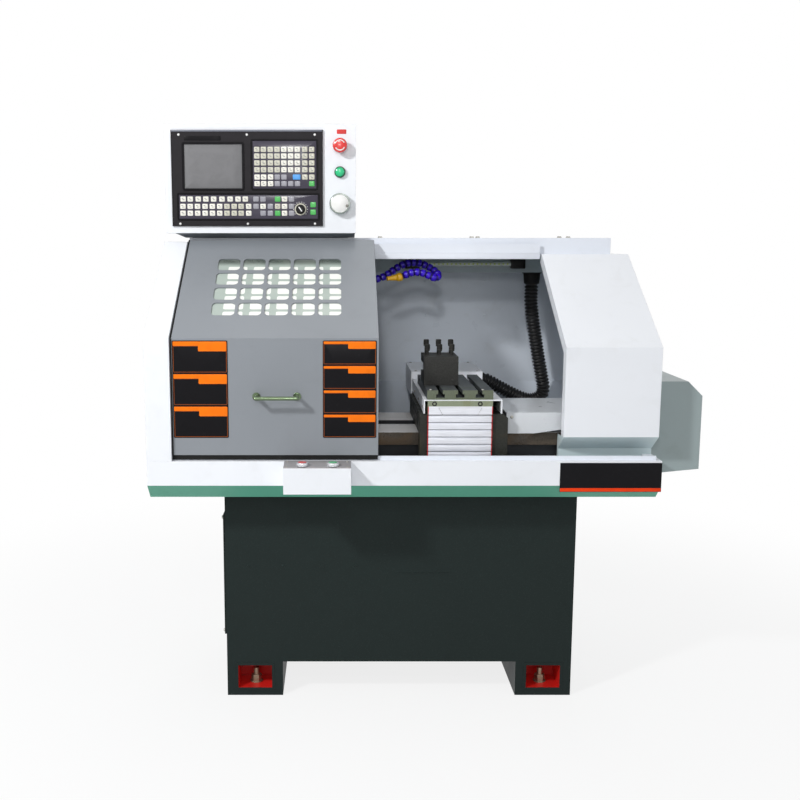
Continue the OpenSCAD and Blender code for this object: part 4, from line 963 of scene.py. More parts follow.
@dataclass(frozen=True)
class Box:
    """A CAD node's box in millimetres, and places on its faces."""

    low: np.ndarray
    high: np.ndarray

    @classmethod
    def of(cls, *nodes: str) -> "Box":
        """Returns the box round one or more CAD nodes."""
        corners = [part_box(node) for node in nodes]
        return cls(np.min([c[0] for c in corners], 0) / MM, np.max([c[1] for c in corners], 0) / MM)

    @property
    def size(self) -> np.ndarray:
        """Returns the box's width, depth and height."""
        return self.high - self.low

    @property
    def middle(self) -> np.ndarray:
        """Returns the box's middle."""
        return (self.low + self.high) / 2

    def front(self, right: float, up: float, out: float = 0.0) -> np.ndarray:
        """Returns a point on the front face, measured from its lower left corner."""
        return self.low + (right, -out, up)

    def back(self, right: float, up: float, out: float = 0.0) -> np.ndarray:
        """Returns a point on the back face, measured from the model's left."""
        return np.array([self.low[0], self.high[1], self.low[2]]) + (right, out, up)

    def top(self, right: float, deep: float, out: float = 0.0) -> np.ndarray:
        """Returns a point on the top face, measured from its front left corner."""
        return np.array([self.low[0] + right, self.low[1] + deep, self.high[2] + out])

    def end(self, deep: float, up: float, out: float = 0.0) -> np.ndarray:
        """Returns a point on the right face, measured from its front lower corner."""
        return np.array([self.high[0] + out, self.low[1] + deep, self.low[2] + up])

    def start(self, deep: float, up: float, out: float = 0.0) -> np.ndarray:
        """Returns a point on the left face, measured from its front lower corner."""
        return np.array([self.low[0] - out, self.low[1] + deep, self.low[2] + up])


def linked(name: str, data: bpy.types.ID) -> bpy.types.Object:
    """Returns a new object, in the scene."""
    made = bpy.data.objects.new(name, data)
    bpy.context.scene.collection.objects.link(made)
    return made


def dress(finish: Finish, *nodes: str) -> None:
    """Gives CAD nodes a finish, and leaves their meshes alone."""
    for name in nodes:
        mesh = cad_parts[name].data
        mesh.materials.clear()
        mesh.materials.append(material_of(finish))
        LOG.info("%s: dressed in %s", name, finish.name)


TRAY = Box.of("splash_tray")


def machine(x: float, y: float, z: float) -> np.ndarray:
    """Returns a point measured from the tray's middle, the fascia's front and the floor."""
    return np.array([TRAY.middle[0] + x, TRAY.low[1] + y, z])


def by_middle(x: float, y: float, z: float) -> np.ndarray:
    """Returns a point with its X measured from the tray's middle, and its Y and Z the model's own."""
    return np.array([TRAY.middle[0] + x, y, z])


BED_BOX = Box.of("bed")
ROOF_FINISH = Zoned("roof_and_duct", Slot.WHITE, INSIDE_DARK, ROOF_WHITE, 2, Box.of("roof").high[2] - 51.5)
# Nearly black below the way flange and behind the bed's front face, brown on the front face, ground steel on
# top.
BED_LOWER = Zoned("bed_sides", Slot.CASTING, BED_DARK, BED_IRON, 2, BED_BOX.high[2] - 34)
BED_SIDES = Zoned("bed_front_and_inside", Slot.CASTING, BED_LOWER, BED_DARK, 1, BED_BOX.low[1] + 2)
BED_FINISH = Zoned("bed_and_ways", Slot.CASTING, BED_SIDES, WAY_STEEL, 2, BED_BOX.high[2] - 0.6)
TABLE_FINISH = Zoned("table_and_front", Slot.OILED, TABLE_EDGE, TABLE_STEEL, 1,
                     Box.of("slide_table").low[1] + 0.6)
# Below the level the housing's foot takes a teal tint, a painted reflection of the green skirt.
HOUSING_FINISH = Zoned("housing_and_foot", Slot.WHITE, FOOT_TEAL_REFLECTION, WHITE, 2,
                       Box.of("right_housing").low[2] + 115)
DRIVE_FINISH = Zoned("drives_and_plate", Slot.GREY, ZINC, DRIVE_DARK, 1, Box.of("drive_panel").low[1] + 3.4)


# ---- Sub-assemblies ----


class SubAssembly:
    """One group of pieces: its CAD nodes' finishes, and the methods that make its pieces, in order."""

    dressed: tuple = ()
    steps: tuple = ()

    def build(self) -> None:
        """Dresses the CAD nodes, then makes the pieces."""
        for finish, *nodes in self.dressed:
            dress(finish, *nodes)
        for step in self.steps:
            step(self)


@dataclass
class Studio:
    """The floor, the lamps, the white surroundings and the camera, in millimetres from the tray's frame."""

    eye: Point = (-170, -2512, 1228)
    pitch: float = 8.77
    lens: float = 45.81
    sensor: float = 36.0
    shift: float = 0.07875
    sky: float = 0.35
    floor_width: float = 24.0
    floor_fade: Pair = (0.9, 2.3)
    floor_white: float = 0.82
    spot_r: float = 80.0
    lamps: tuple = (
        ("key", (-2250, -1900, 2750), (0, 200, 850), 280, 77),
        ("front_high", (-350, -3000, 2530), (0, 450, 950), 220, 11),
        ("front_low", (-230, -3000, 1830), (0, 450, 950), 220, 6),
        ("fill", (2600, -1900, 1500), (0, 200, 700), 1600, 4),
        ("top", (200, 300, 3300), (0, 300, 900), 2000, 10),
        ("back", (300, 3300, 2100), (0, 400, 900), 1600, 30),
    )
    spots: tuple = (
        ("opening_high", (-350, -3000, 2530), (190, 500, 930), 9.0, 62),
        ("opening_low", (-230, -3000, 1830), (190, 500, 930), 9.0, 40),
    )

    def build(self) -> None:
        """Makes the camera, the floor, the world and the lamps."""
        self.camera()
        self.floor()
        self.world()
        for name, at, towards, size, watts in self.lamps:
            self.lamp(name, machine(*at), machine(*towards), watts).size = size * MM
        for name, at, towards, degrees, watts in self.spots:
            spot = self.lamp(name, machine(*at), machine(*towards), watts, "SPOT")
            spot.spot_size, spot.spot_blend = math.radians(degrees), 1.0
            spot.shadow_soft_size = self.spot_r * MM
        bpy.context.scene.view_settings.view_transform = "Standard"

    def camera(self) -> None:
        """Stands the camera in front of the door, looking slightly down."""
        data = bpy.data.cameras.new("camera")
        data.lens, data.sensor_width, data.shift_x = self.lens, self.sensor, self.shift
        camera = linked("camera", data)
        camera.location = machine(*self.eye) * MM
        camera.rotation_euler = (math.radians(90 - self.pitch), 0, 0)
        bpy.context.scene.camera = camera

    def seen(self, graph: Graph) -> Value:
        """Returns 1 for camera, glossy and transmission rays, and 0 for the rest."""
        path = graph.node("ShaderNodeLightPath")
        kinds = ("Camera", "Glossy", "Transmission")
        rays = [Value(graph, path.outputs[f"Is {kind} Ray"]) for kind in kinds]
        return (rays[0] + rays[1] + rays[2]).step(0.2, 0.8)

    def floor(self) -> None:
        """Lays a pale floor that fades to white away from the machine."""
        half = self.floor_width / 2
        mesh = bpy.data.meshes.new("floor")
        corners = [(x * half, y * half, 0) for x, y in ((-1, -1), (1, -1), (1, 1), (-1, 1))]
        mesh.from_pydata(corners, [], [(0, 1, 2, 3)])
        graph = Graph("pale_floor")
        far = graph.node("ShaderNodeVectorMath", {"operation": "LENGTH"}, {0: graph.place}).outputs["Value"]
        fade = Value(graph, far).step(*self.floor_fade)
        tone = graph.mix((0.86, 0.87, 0.88), (0.9, 0.9, 0.91), graph.noise(1.5, 2))
        plain = graph.node("ShaderNodeBsdfDiffuse", {}, {"Color": tone})
        white = graph.node("ShaderNodeEmission", {}, {"Color": (1, 1, 1, 1), "Strength": 1.0})
        share = self.seen(graph) * (fade * (1 - self.floor_white) + self.floor_white)
        mixed = graph.node("ShaderNodeMixShader", {}, {0: share, 1: plain.outputs[0], 2: white.outputs[0]})
        graph.node("ShaderNodeOutputMaterial", {}, {"Surface": mixed.outputs[0]})
        mesh.materials.append(graph.material)
        floor = linked("floor", mesh)

    def world(self) -> None:
        """Surrounds the machine with an even light that looks white."""
        world = bpy.data.worlds.new("surroundings")
        graph = Graph("surroundings", world)
        strength = self.seen(graph) * (1 - self.sky) + self.sky
        sky = graph.node("ShaderNodeBackground", {}, {"Color": (1, 1, 1, 1), "Strength": strength})
        graph.node("ShaderNodeOutputWorld", {}, {"Surface": sky.outputs[0]})
        bpy.context.scene.world = world

    def lamp(self, name: str, at: np.ndarray, towards: np.ndarray, watts: float,
             kind: str = "AREA") -> bpy.types.Light:
        """Hangs one soft lamp that points at a place, and returns its data."""
        data = bpy.data.lights.new(name, kind)
        data.energy = watts
        lamp = linked(name, data)
        lamp.location = at * MM
        lamp.rotation_euler = Vector(towards - at).to_track_quat("-Z", "Y").to_euler()
        return data


@dataclass
class Services(SubAssembly):
    """What hangs under the roof: the cable conduit, the coolant hose and the work lamp."""

    conduit_line: tuple = (
        (431, 1104), (431, 1080), (431, 1050), (435, 1015), (441, 975), (449, 930), (457, 885), (466, 840),
        (473, 805), (477, 780), (472, 758), (455, 745), (430, 742), (400, 751), (365, 768), (330, 787),
        (307, 799), (290, 806), (270, 806),
    )
    conduit_y: float = 652
    conduit_r: float = 21
    rib_pitch: float = 10.5
    rib_depth: float = 3.8
    bend_start: Point = (431, 652, 1100)
    bend_end: Point = (330, 652, 787)
    hose_line: tuple = (
        (-110, 470, 1168), (-110, 470, 1152), (-102, 470, 1135), (-84, 470, 1124), (-66, 470, 1122),
        (-48, 470, 1126), (-30, 470, 1133), (-14, 470, 1144), (2, 470, 1155), (20, 470, 1165),
        (40, 470, 1171), (60, 470, 1171), (80, 470, 1166), (98, 467, 1158), (114, 460, 1147),
        (122, 448, 1137), (118, 436, 1130), (106, 428, 1130), (90, 425, 1137), (74, 424, 1143),
        (56, 424, 1145), (38, 424, 1142), (20, 424, 1135), (6, 423, 1131), (-10, 420, 1129),
        (-27, 413, 1127),
    )
    link_pitch: float = 16.5
    link_r: float = 10.8
    neck_r: float = 6.4
    nozzle_l: float = 47
    nozzle_share: tuple = (0, 0.03, 0.1, 0.2, 0.3, 0.38, 0.44, 0.9, 0.93, 1)
    nozzle_r: tuple = (7, 10.6, 12, 12.4, 11.6, 9.6, 8.6, 6, 6.4, 6.2)

    def conduit(self) -> None:
        """Makes the corrugated conduit, a cord from its cuff to the X motor's cover.

        Its radius at a distance s along the path is r - depth (1 - cos(2 pi s / pitch)) / 2.
        """
        points = np.array([machine(x, self.conduit_y, z) for x, z in self.conduit_line])
        path = smooth_path(points, self.rib_pitch / 9)
        length = path_length(path)
        run = np.linspace(0, length, len(path))
        radii = self.conduit_r - self.rib_depth * (1 - np.cos(TAU * run / self.rib_pitch)) / 2
        # The conduit's groove colour is painted shade in its grooves.
        rings = Ringed("conduit_rings", (38, 38, 39), Slot.RUBBER, srgb(5, 5, 5), self.rib_pitch, length,
                       roughness=0.24)
        piece = carried(path, radii, 22).build("cable_conduit", rings, replaces=["conduit"], rides=False)
        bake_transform(piece)

    def cuff(self) -> None:
        """Makes the conduit's rubber cuff, flanged and tapered, and the ring nut on the cover's gland."""
        cuff = Box.of("conduit_cuff")
        h, wide, mouth = cuff.size[2], cuff.size[0] / 2, self.conduit_r + 1.2
        waist = wide - 4.5
        section = [(0, 0), (mouth, 0), (mouth + 0.8, 1.0), (waist - 1.2, h * 0.35), (waist, h - 6),
                   (waist, h - 4), (wide - 0.6, h - 3.4), (wide, h - 2.8), (wide, h - 0.6), (wide - 0.6, h),
                   (0, h)]
        turned(section, 40).placed(cuff.top(wide, cuff.size[1] / 2, -h)).build(
            "cuff_body", RUBBER, replaces=["conduit_cuff"])
        cover = Box.of("x_motor_cover")
        nut = washer(self.conduit_r + 0.5, self.conduit_r + 8, 9, 1.5, sides=12)
        gland = machine(cover.high[0] - TRAY.middle[0] - 9, self.conduit_y, self.conduit_line[-1][1])
        nut.placed(gland, RIGHT).build("gland_nut", BLACK_PLASTIC, Body.CARRIAGE)

    def hose(self) -> None:
        """Makes the hose's ball-and-socket links, its nozzle and its fitting.

        In each link the radius rises at once to the socket's lip and falls back along a round ball's side.
        """
        path = smooth_path([machine(*p) for p in self.hose_line], 0.9)
        run = np.linspace(0, path_length(path), len(path))
        tip = run > run[-1] - self.nozzle_l
        share = (run[~tip] / self.link_pitch) % 1
        swell = np.clip(share / 0.1, 0, 1) * np.sqrt(np.clip((1 - share) / 0.42, 0, 1))
        links = carried(path[~tip], self.neck_r + (self.link_r - self.neck_r) * swell, 18)
        # The hose's groove colour is painted shade between its links.
        rings = Ringed("hose_rings", (54, 18, 196), Slot.HOSE, srgb(26, 8, 96), self.link_pitch,
                       run[~tip][-1], roughness=0.2)
        links.build("hose_links", rings, Body.HOSE, replaces=["coolant_hose"], smooth=50)
        radii = np.interp(np.linspace(0, 1, int(tip.sum())), self.nozzle_share, self.nozzle_r)
        carried(path[tip], radii, 18).build("nozzle", NOZZLE_ORANGE, Body.HOSE, replaces=["coolant_hose"])
        roof_gap, fitting_h = 0.3, 26.0
        top = machine(self.hose_line[0][0], self.hose_line[0][1], Box.of("coolant_hose").high[2] - fitting_h)
        shank = turned([(0, 0), (8, 0), (10, 1.5), (10, 9), (11.6, 10), (11.6, 14), (7.5, 15),
                        (7.5, fitting_h), (0, fitting_h)], 24)
        nut = hexagon(20, 8).placed((0, 0, fitting_h - 8.0 - roof_gap))
        Shape.joined([shank, nut]).placed(top).build(
            "hose_fitting", BRIGHT, Body.HOSE, replaces=["coolant_hose"])

    def lamp(self) -> None:
        """Makes the lamp's tube, the row of chips in it, and its two brackets."""
        lamp = Box.of("work_lamp")
        deep, up, r = 12.0, lamp.size[2] / 2, 7.0
        length = lamp.size[0] - 8
        tube = turned([(0, 0), (r - 1, 0), (r, 1), (r, length - 1), (r - 1, length), (0, length)], 24)
        tube.placed(lamp.start(deep, up, -4), RIGHT).build("lamp_tube", LAMP_CLEAR, replaces=["work_lamp"])
        clear = 50.0
        chips = [lamp.front(x, up, 0.2 - (deep - r)) for x in np.arange(clear, lamp.size[0] - clear, 13.0)]
        chip = slab(5.5, 4.5, 0.9, 0.8, 0.2, steps=1)
        chip.at(chips, FRONT).build("lamp_chips", LAMP_GREEN)
        block = slab(44, lamp.size[2], 18, 3, 1.5)
        places = [lamp.front(x, up, -22) for x in (22, lamp.size[0] - 22)]
        foot = slab(36, lamp.size[2] - 6, 10, 3, 1.0)
        feet = [lamp.front(x, up, -lamp.size[1]) for x in (22, lamp.size[0] - 22)]
        Shape.joined([block.at(places, FRONT), foot.at(feet, FRONT)]).build(
            "lamp_brackets", BLACK_PLASTIC, replaces=["work_lamp"])

    steps = (conduit, cuff, hose, lamp)


@dataclass
class Console(SubAssembly):
    """The control unit with its display and keypads, and the buttons beside it."""

    dressed = ((WHITE, "console_box"), (BLACK_PLASTIC, "console_neck"), (PANEL_BLACK, "control_panel"))
    unit: Box = Box.of("control_panel")
    face: Box = Box.of("console_box")
    key: tuple[float, float, float] = (15.0, 14.0, 1.5)
    wide_key: float = 21.0
    wide_u: float = 120.7
    cycle_u: float = 371
    cycle_rows: Pair = (38.5, 18.3)
    main_at: Pair = (224, 102)
    main_size: Pair = (175, 129)
    main_columns: tuple = (12, 30, 49, 67.5, 86, 104.5, 123, 143.5, 162.5)
    main_rows: tuple = (105.7, 87.9, 69.3, 51, 31.4, 13.6)
    lower_at: Pair = (19, 20)
    lower_size: Pair = (384, 66)
    function_columns: tuple = (12, 31.5, 53.8, 74.7, 96.3, 119.4, 141.8, 163.7, 183.9)
    axis_columns: tuple = (11, 31.1, 51.3, 72.2, 92.3, 112.5, 132.6, 152.7, 171.8, 192.7)
    few_columns: tuple = (213.2, 232.6, 252.7, 272.9, 291.9, 311.4)
    lower_rows: tuple = (53.8, 34, 15.4)
    control_x: float = -162
    estop_z: float = 1491
    start_z: float = 1421
    wheel_z: float = 1335
    knob_at: Pair = (355, 46)
    pointer_turn: float = 125
    ticks_r: float = 19.5
    pin_radius: float = 20.0
    sill_corners: tuple = ((-597, 400, 1242.8), (-620, 362, 1254.7))
    sill_end: Pair = (-120.5, 474)
    label_at: Pair = (-157.5, 1529.5)

    def sill(self) -> None:
        """Makes the tapered collar between the cabinet and the roof, from one rectangle to another."""
        rings = []
        for x0, y0, z in self.sill_corners:
            low, high = machine(x0, y0, z), machine(*self.sill_end, z)
            rings.append(np.array([low, (high[0], low[1], z), high, (low[0], high[1], z)]))
        layered(rings).build("console_sill", SILL_GREY)

    def bezel(self) -> None:
        """Makes the unit's rim, its top strip, its screws and the bare title strip."""
        w, _, h = self.unit.size
        rim(w - 0.6, h - 0.6, 3.5, 0.9, 3).placed(self.unit.front(w / 2, h / 2), FRONT).build(
            "unit_rim", PANEL_BLACK)
        strip = slab(w - 4, 4.4, 1.3, 1.0, 0.4).placed(self.unit.front(w / 2, h - 2.6), FRONT)
        strip.build("unit_top_strip", STRIP_GREY)
        screw = turned([(0, 0), (3.3, 0), (3.1, 0.9), (2.2, 1.6), (1.4, 1.8), (1.3, 1.0), (0, 1.0)], 14)
        places = [self.unit.front(u, v) for u in (22, 209, 395) for v in (6.5, h - 13)]
        screw.at(places, FRONT).build("unit_screws", WHITE_PLASTIC)
        title = slab(101, 12, 0.6, 2, 0.2).placed(self.unit.front(87, 237.5), FRONT)
        title.build("title_strip", PRINT_BLACK)

    def display(self) -> None:
        """Makes the display's sheet and the frame round it."""
        surround = rim(171, 131, 6, 2.2, 6, 0.8).placed(self.unit.front(115.5, 162), FRONT)
        surround.build("display_frame", PRINT_BLACK)
        sheet = slab(161, 120.5, 1.6, 1, 0.3).placed(self.unit.front(116, 162.5, -2.4), FRONT)
        sheet.build("display_sheet", SCREEN_GREY)

    def key_rows(self) -> list[tuple]:
        """Returns each run of keys: its field's corner, its colour, its columns and its height."""
        main, low, c, r = self.main_at, self.lower_at, self.main_columns, self.main_rows
        rows = []
        for row in r[:4]:
            rows += [(main, "beige", c[:4] + c[7:], row), (main, "white", c[4:7], row)]
        rows += [(main, colour, columns, r[i]) for colour, columns, i in (
            ("white", c[:3], 4), ("grey", c[3:5], 4), ("wide", (self.wide_u,), 4), ("beige", c[7:], 4),
            ("white", c[:3], 5), ("grey", c[3:7], 5), ("green", c[8:], 5))]
        long, few = self.axis_columns, self.few_columns
        rows.append((low, "white", self.function_columns, self.lower_rows[0]))
        for row in self.lower_rows[1:]:
            rows += [(low, "white", long[:6] + long[9:], row), (low, "beige", long[6:9], row)]
        rows += [(low, colour, [few[k] for k in picked], self.lower_rows[i]) for colour, picked, i in (
            ("grey", (0, 1, 5), 0), ("green", (3,), 0), ("white", (4,), 0),
            ("grey", (0, 2, 5), 1), ("white", (1, 4), 1), ("beige", (3,), 1),
            ("grey", (1, 2, 5), 2), ("green", (3,), 2), ("white", (4,), 2))]
        return rows + [(low, "green", (self.cycle_u,), row) for row in self.cycle_rows]

    def keypads(self) -> None:
        """Makes the two films, the frames round them, and their keys by colour."""
        groups: dict[str, list[np.ndarray]] = {name: [] for name in KEYS}
        for corner, colour, columns, row in self.key_rows():
            groups[colour] += [self.unit.front(corner[0] + u, corner[1] + row, -0.8) for u in columns]
        w, h, t = self.key
        for colour, places in groups.items():
            cap = slab(self.wide_key if colour == "wide" else w, h, t, 2.0, 0.5, steps=2, crown=0.15)
            cap.at(places, FRONT).build(f"keys_{colour}", KEYS[colour])
        marks = [p + (dx, -t - 0.16, dz) for name in ("white", "beige") for p in groups[name]
                 for dx, dz in ((-1.6, 2.2), (0.8, -1.8))]
        slab(5.4, 1.5, 0.2, 0.3, 0.08, steps=1).at(marks, FRONT).build("key_marks", KEY_PRINT)
        for name, (u, v), (w, h) in (("main", self.main_at, self.main_size),
                                     ("lower", self.lower_at, self.lower_size)):
            middle = self.unit.front(u + w / 2, v + h / 2)
            film = slab(w, h, 0.3, 1, 0.1).placed(middle + (0, 0.95, 0), FRONT)
            film.build(f"{name}_key_film", CAVITY_BLACK)
            border = rim(w + 10, h + 9, 4.6, 1.6, 5, 0.7).placed(middle, FRONT)
            border.build(f"{name}_key_frame", PRINT_BLACK)

    def knob(self) -> None:
        """Makes the override knob, its pointer, its ring and the ticks round it."""
        centre = self.unit.front(*self.knob_at)
        body = turned([(0, 0.2), (12.6, 0.2), (12.8, 1.5), (11.4, 3), (10.8, 12), (9.6, 13), (0, 13)], 48,
                      0.35, 16)
        body.placed(centre, FRONT).build("knob_body", BLACK_PLASTIC, Body.KNOB, replaces=["override_knob"])
        turn = math.radians(self.pointer_turn)
        along, out = np.array((math.cos(turn), 0, math.sin(turn))), (0, -1, 0)
        axes = np.array([along, np.cross(out, along), out])
        slab(15, 3.2, 0.8, 1.2, 0.2).placed(centre - (0, 12.6, 0), axes).build(
            "knob_pointer", WHITE_PLASTIC, Body.KNOB, replaces=["override_knob"])
        ring = washer(12.9, 16.4, 1.0, 0.3, 48).placed(centre + (0, 0.9, 0), FRONT)
        ring.build("knob_ring", KEYS["beige"])
        places = [centre + (self.ticks_r * math.cos(a), 0.9, self.ticks_r * math.sin(a))
                  for a in np.radians(np.arange(-40, 221, 20))]
        dot = slab(2.2, 2.2, 0.5, 1, 0.1, steps=2)
        dot.at(places, FRONT).build("knob_ticks", WHITE_PLASTIC)

    def on_face(self, z: float) -> np.ndarray:
        """Returns a place in the column of buttons on the cabinet's face."""
        return by_middle(self.control_x, self.face.low[1], z)

    def emergency_stop(self) -> None:
        """Makes the mushroom head, the white arcs on it, its collar and the bare red label."""
        at = self.on_face(self.estop_z)
        head = turned([(0, 9), (8, 9), (9, 13), (14, 15), (19, 17.5), (20, 20), (20, 25), (18.6, 29),
                       (15, 31), (11, 31.8), (0, 32)], 40)
        head.placed(at, FRONT).build("stop_head", RED_PLASTIC, Body.ESTOP, replaces=["estop_button"])
        arcs = [arc(13.2, a, a + 128, 1.7).placed((0, 0, 30.6)) for a in (28, 208)]
        Shape.joined(arcs).placed(at, FRONT).build(
            "stop_arcs", WHITE_PLASTIC, Body.ESTOP, replaces=["estop_button"])
        washer(10, 15, 5.6, 1.2).placed(at, FRONT).build("stop_collar", BLACK_PLASTIC)
        label = by_middle(self.label_at[0], self.face.low[1], self.label_at[1])
        slab(26, 12, 0.5, 2.2, 0.2).placed(label, FRONT).build("stop_label", LABEL_RED)

    def start(self) -> None:
        """Makes the green dome and the dark ring round it."""
        at = self.on_face(self.start_z)
        dome = turned([(0, 4.5), (12.4, 4.5), (12.8, 8), (12.4, 11), (10.5, 13), (6, 14), (0, 14.2)], 36)
        dome.placed(at, FRONT).build("start_dome", GREEN_PLASTIC, Body.START, replaces=["start_button"])
        ring = hoop([(8.4, 0), (15.6, 0), (15.6, 3), (15, 9), (13.4, 9.6), (13.3, 0.4), (8.4, 0.4)], 36)
        ring.placed(at, FRONT).build("start_ring", START_RING)

    def wheel(self) -> None:
        """Makes the handwheel's knurled ring, its white face and its finger pin."""
        at = self.on_face(self.wheel_z)
        ring = turned([(0, 2.3), (27, 2.3), (28.8, 4), (28.8, 18), (28.2, 21), (26.4, 23.4), (24.8, 24),
                       (24.2, 22.6), (0, 22.6)], 120, 0.28, 40)
        ring.placed(at, FRONT).build("wheel_ring", WHEEL_CHROME, Body.WHEEL, replaces=["handwheel"])
        face = turned([(0, 20), (24, 20), (24, 22.8), (23, 23.6), (0, 23.9)], 48)
        face.placed(at, FRONT).build("wheel_face", WHITE_PLASTIC, Body.WHEEL, replaces=["handwheel"])
        pin = turned([(0, 22), (4.2, 22), (4.2, 24.5), (3.6, 25), (3.8, 33), (3, 34), (0, 34)], 20)
        pin.placed(at + (self.pin_radius, 0, -6), FRONT).build(
            "wheel_pin", PIN_GREY, Body.WHEEL, replaces=["handwheel"])

    def case(self) -> None:
        """Makes the cabinet's rear lid with its louvres and screws."""
        box = self.face
        w, _, h = box.size
        slab(w - 24, h - 24, 1.4, 4, 0.5).placed(box.back(w / 2, h / 2), BACK).build("console_lid", WHITE)
        screws = [box.back(u, v, 1.4) for u in (22, w / 2, w - 22) for v in (22, h - 22)]
        socket_screw(4, 2.4).at(screws, BACK).build("console_lid_screws", SCREW_STEEL)
        places = [box.back(u, v, 1.3) for u in (w / 2 - 90, w / 2 + 90) for v in np.arange(90, h - 80, 12.0)]
        slab(70, 3, 1.6, 1.4, 0.5).at(places, BACK).build("console_vents", PANEL_BLACK)

    steps = (bezel, display, keypads, knob, emergency_stop, start, wheel, case, sill)


@dataclass
class Column:
    """One column of bare plates: its left edge and width, how many plates, and its bars' heights."""

    start: float
    width: float
    count: int
    strip: float
    block: float


@dataclass
class Door(SubAssembly):
    """The sliding door: its sheet, its bare plates, its window and its handle."""

    dressed = (
        (DOOR_GREY, "door_panel"), (WINDOW_SHEET, "door_window"), (BRIGHT, "door_handle"),
        (BLACK_PLASTIC, "door_glides"),
    )
    panel: Box = Box.of("door_panel")
    columns: tuple = (Column(5, 138.5, 3, 11.0, 24.5), Column(380.5, 134.5, 4, 6.0, 18.5))
    plates_z: Pair = (742.5, 988.5)
    block_share: float = 0.53
    margin: float = 2.4
    slope: float = 33.2
    fold_z: float = 994.2
    edge_w: float = 3.4

    def __post_init__(self) -> None:
        """Works out the directions of the sheet's upper, sloping part."""
        self.slant = tilted(math.radians(self.slope))

    def plates(self) -> None:
        """Makes both columns of bare black plates, each plate with a plain orange bar and a thin outline."""
        bases, bars, lines = [], [], []
        low, high = (z - self.panel.low[2] for z in self.plates_z)
        for column in self.columns:
            w, pitch = column.width, (high - low) / column.count
            centre = self.panel.front(column.start + w / 2, (low + high) / 2)
            bases.append(slab(w, high - low, 0.8, 3, 0.25).placed(centre, FRONT))
            block_w = (w - 2 * self.margin) * self.block_share
            for i in range(column.count):
                top = centre + (0, -0.75, (i + 1 - column.count / 2) * pitch - self.margin)
                aside = (w - block_w) / 2 - self.margin
                block = slab(block_w, column.block, 0.35, 2.5, 0.12)
                bars.append(block.placed(top + (aside, 0, -column.block / 2), FRONT))
                strip = slab(w - block_w - 2 * self.margin + 4, column.strip, 0.3, 1.0, 0.1)
                bars.append(strip.placed(top + (-block_w / 2 + 2, 0, -column.strip / 2), FRONT))
                height = pitch - column.strip - 2 * self.margin
                line = rim(w - 2 * self.margin, height, 1.2, 0.25, 2, 0.1)
                lines.append(line.placed(top - (0, 0, column.strip + height / 2), FRONT))
        Shape.joined(bases).build("door_plates", PRINT_BLACK, Body.DOOR)
        Shape.joined(bars).build("door_plate_bars", PRINT_ORANGE, Body.DOOR)
        Shape.joined(lines).build("door_plate_lines", PRINT_LINE, Body.DOOR)

    def dark_strips(self) -> None:
        """Makes the dark wiper under the door and the seal along its left edge, over the fold."""
        w, front_h = self.panel.size[0], self.fold_z - self.panel.low[2]
        # Painted shade: a dark strip put in the gap under the door, which lies in shade.
        gap_shade_strip = slab(w - 1, 11.4, 2.0, 0.8, 0.3).placed(self.panel.front(w / 2, -5.9, -3.9), FRONT)
        x = self.edge_w / 2 + 0.2
        upright = slab(self.edge_w, front_h, 0.5, 0.5, 0.15).placed(self.panel.front(x, front_h / 2), FRONT)
        foot = self.panel.front(x, front_h)
        up = self.slant[1]
        length = self.panel.size[1] / up[1]
        sloping = slab(self.edge_w, length - 1, 0.5, 0.5, 0.15).placed(foot + up * length / 2, self.slant)
        Shape.joined([gap_shade_strip, upright, sloping]).build("door_dark_strips", RUBBER, Body.DOOR)

    def fixings(self) -> None:
        """Makes the window's nuts behind the slope and the glides' bolts."""
        window = Box.of("door_window")
        low = np.array([window.low[0], window.high[1], window.high[2]])
        right, up, out = self.slant
        length = window.size[2] / up[2]
        places = [low + (x, 0, 0) - up * length * share - out * 3.2
                  for share in (0.02, 0.34, 0.66, 0.98) for x in (6.0, window.size[0] - 6)]
        socket_screw(3.2, 1.8).at(places, np.array([right, -up, -out])).build("window_nuts", ZINC, Body.DOOR)
        spots = [self.panel.front(x, 10, -23.6) for x in (80, 440)]
        hexagon(8, 4).at(spots, BACK).build("glide_bolts", ZINC, Body.DOOR)

    steps = (plates, dark_strips, fixings)


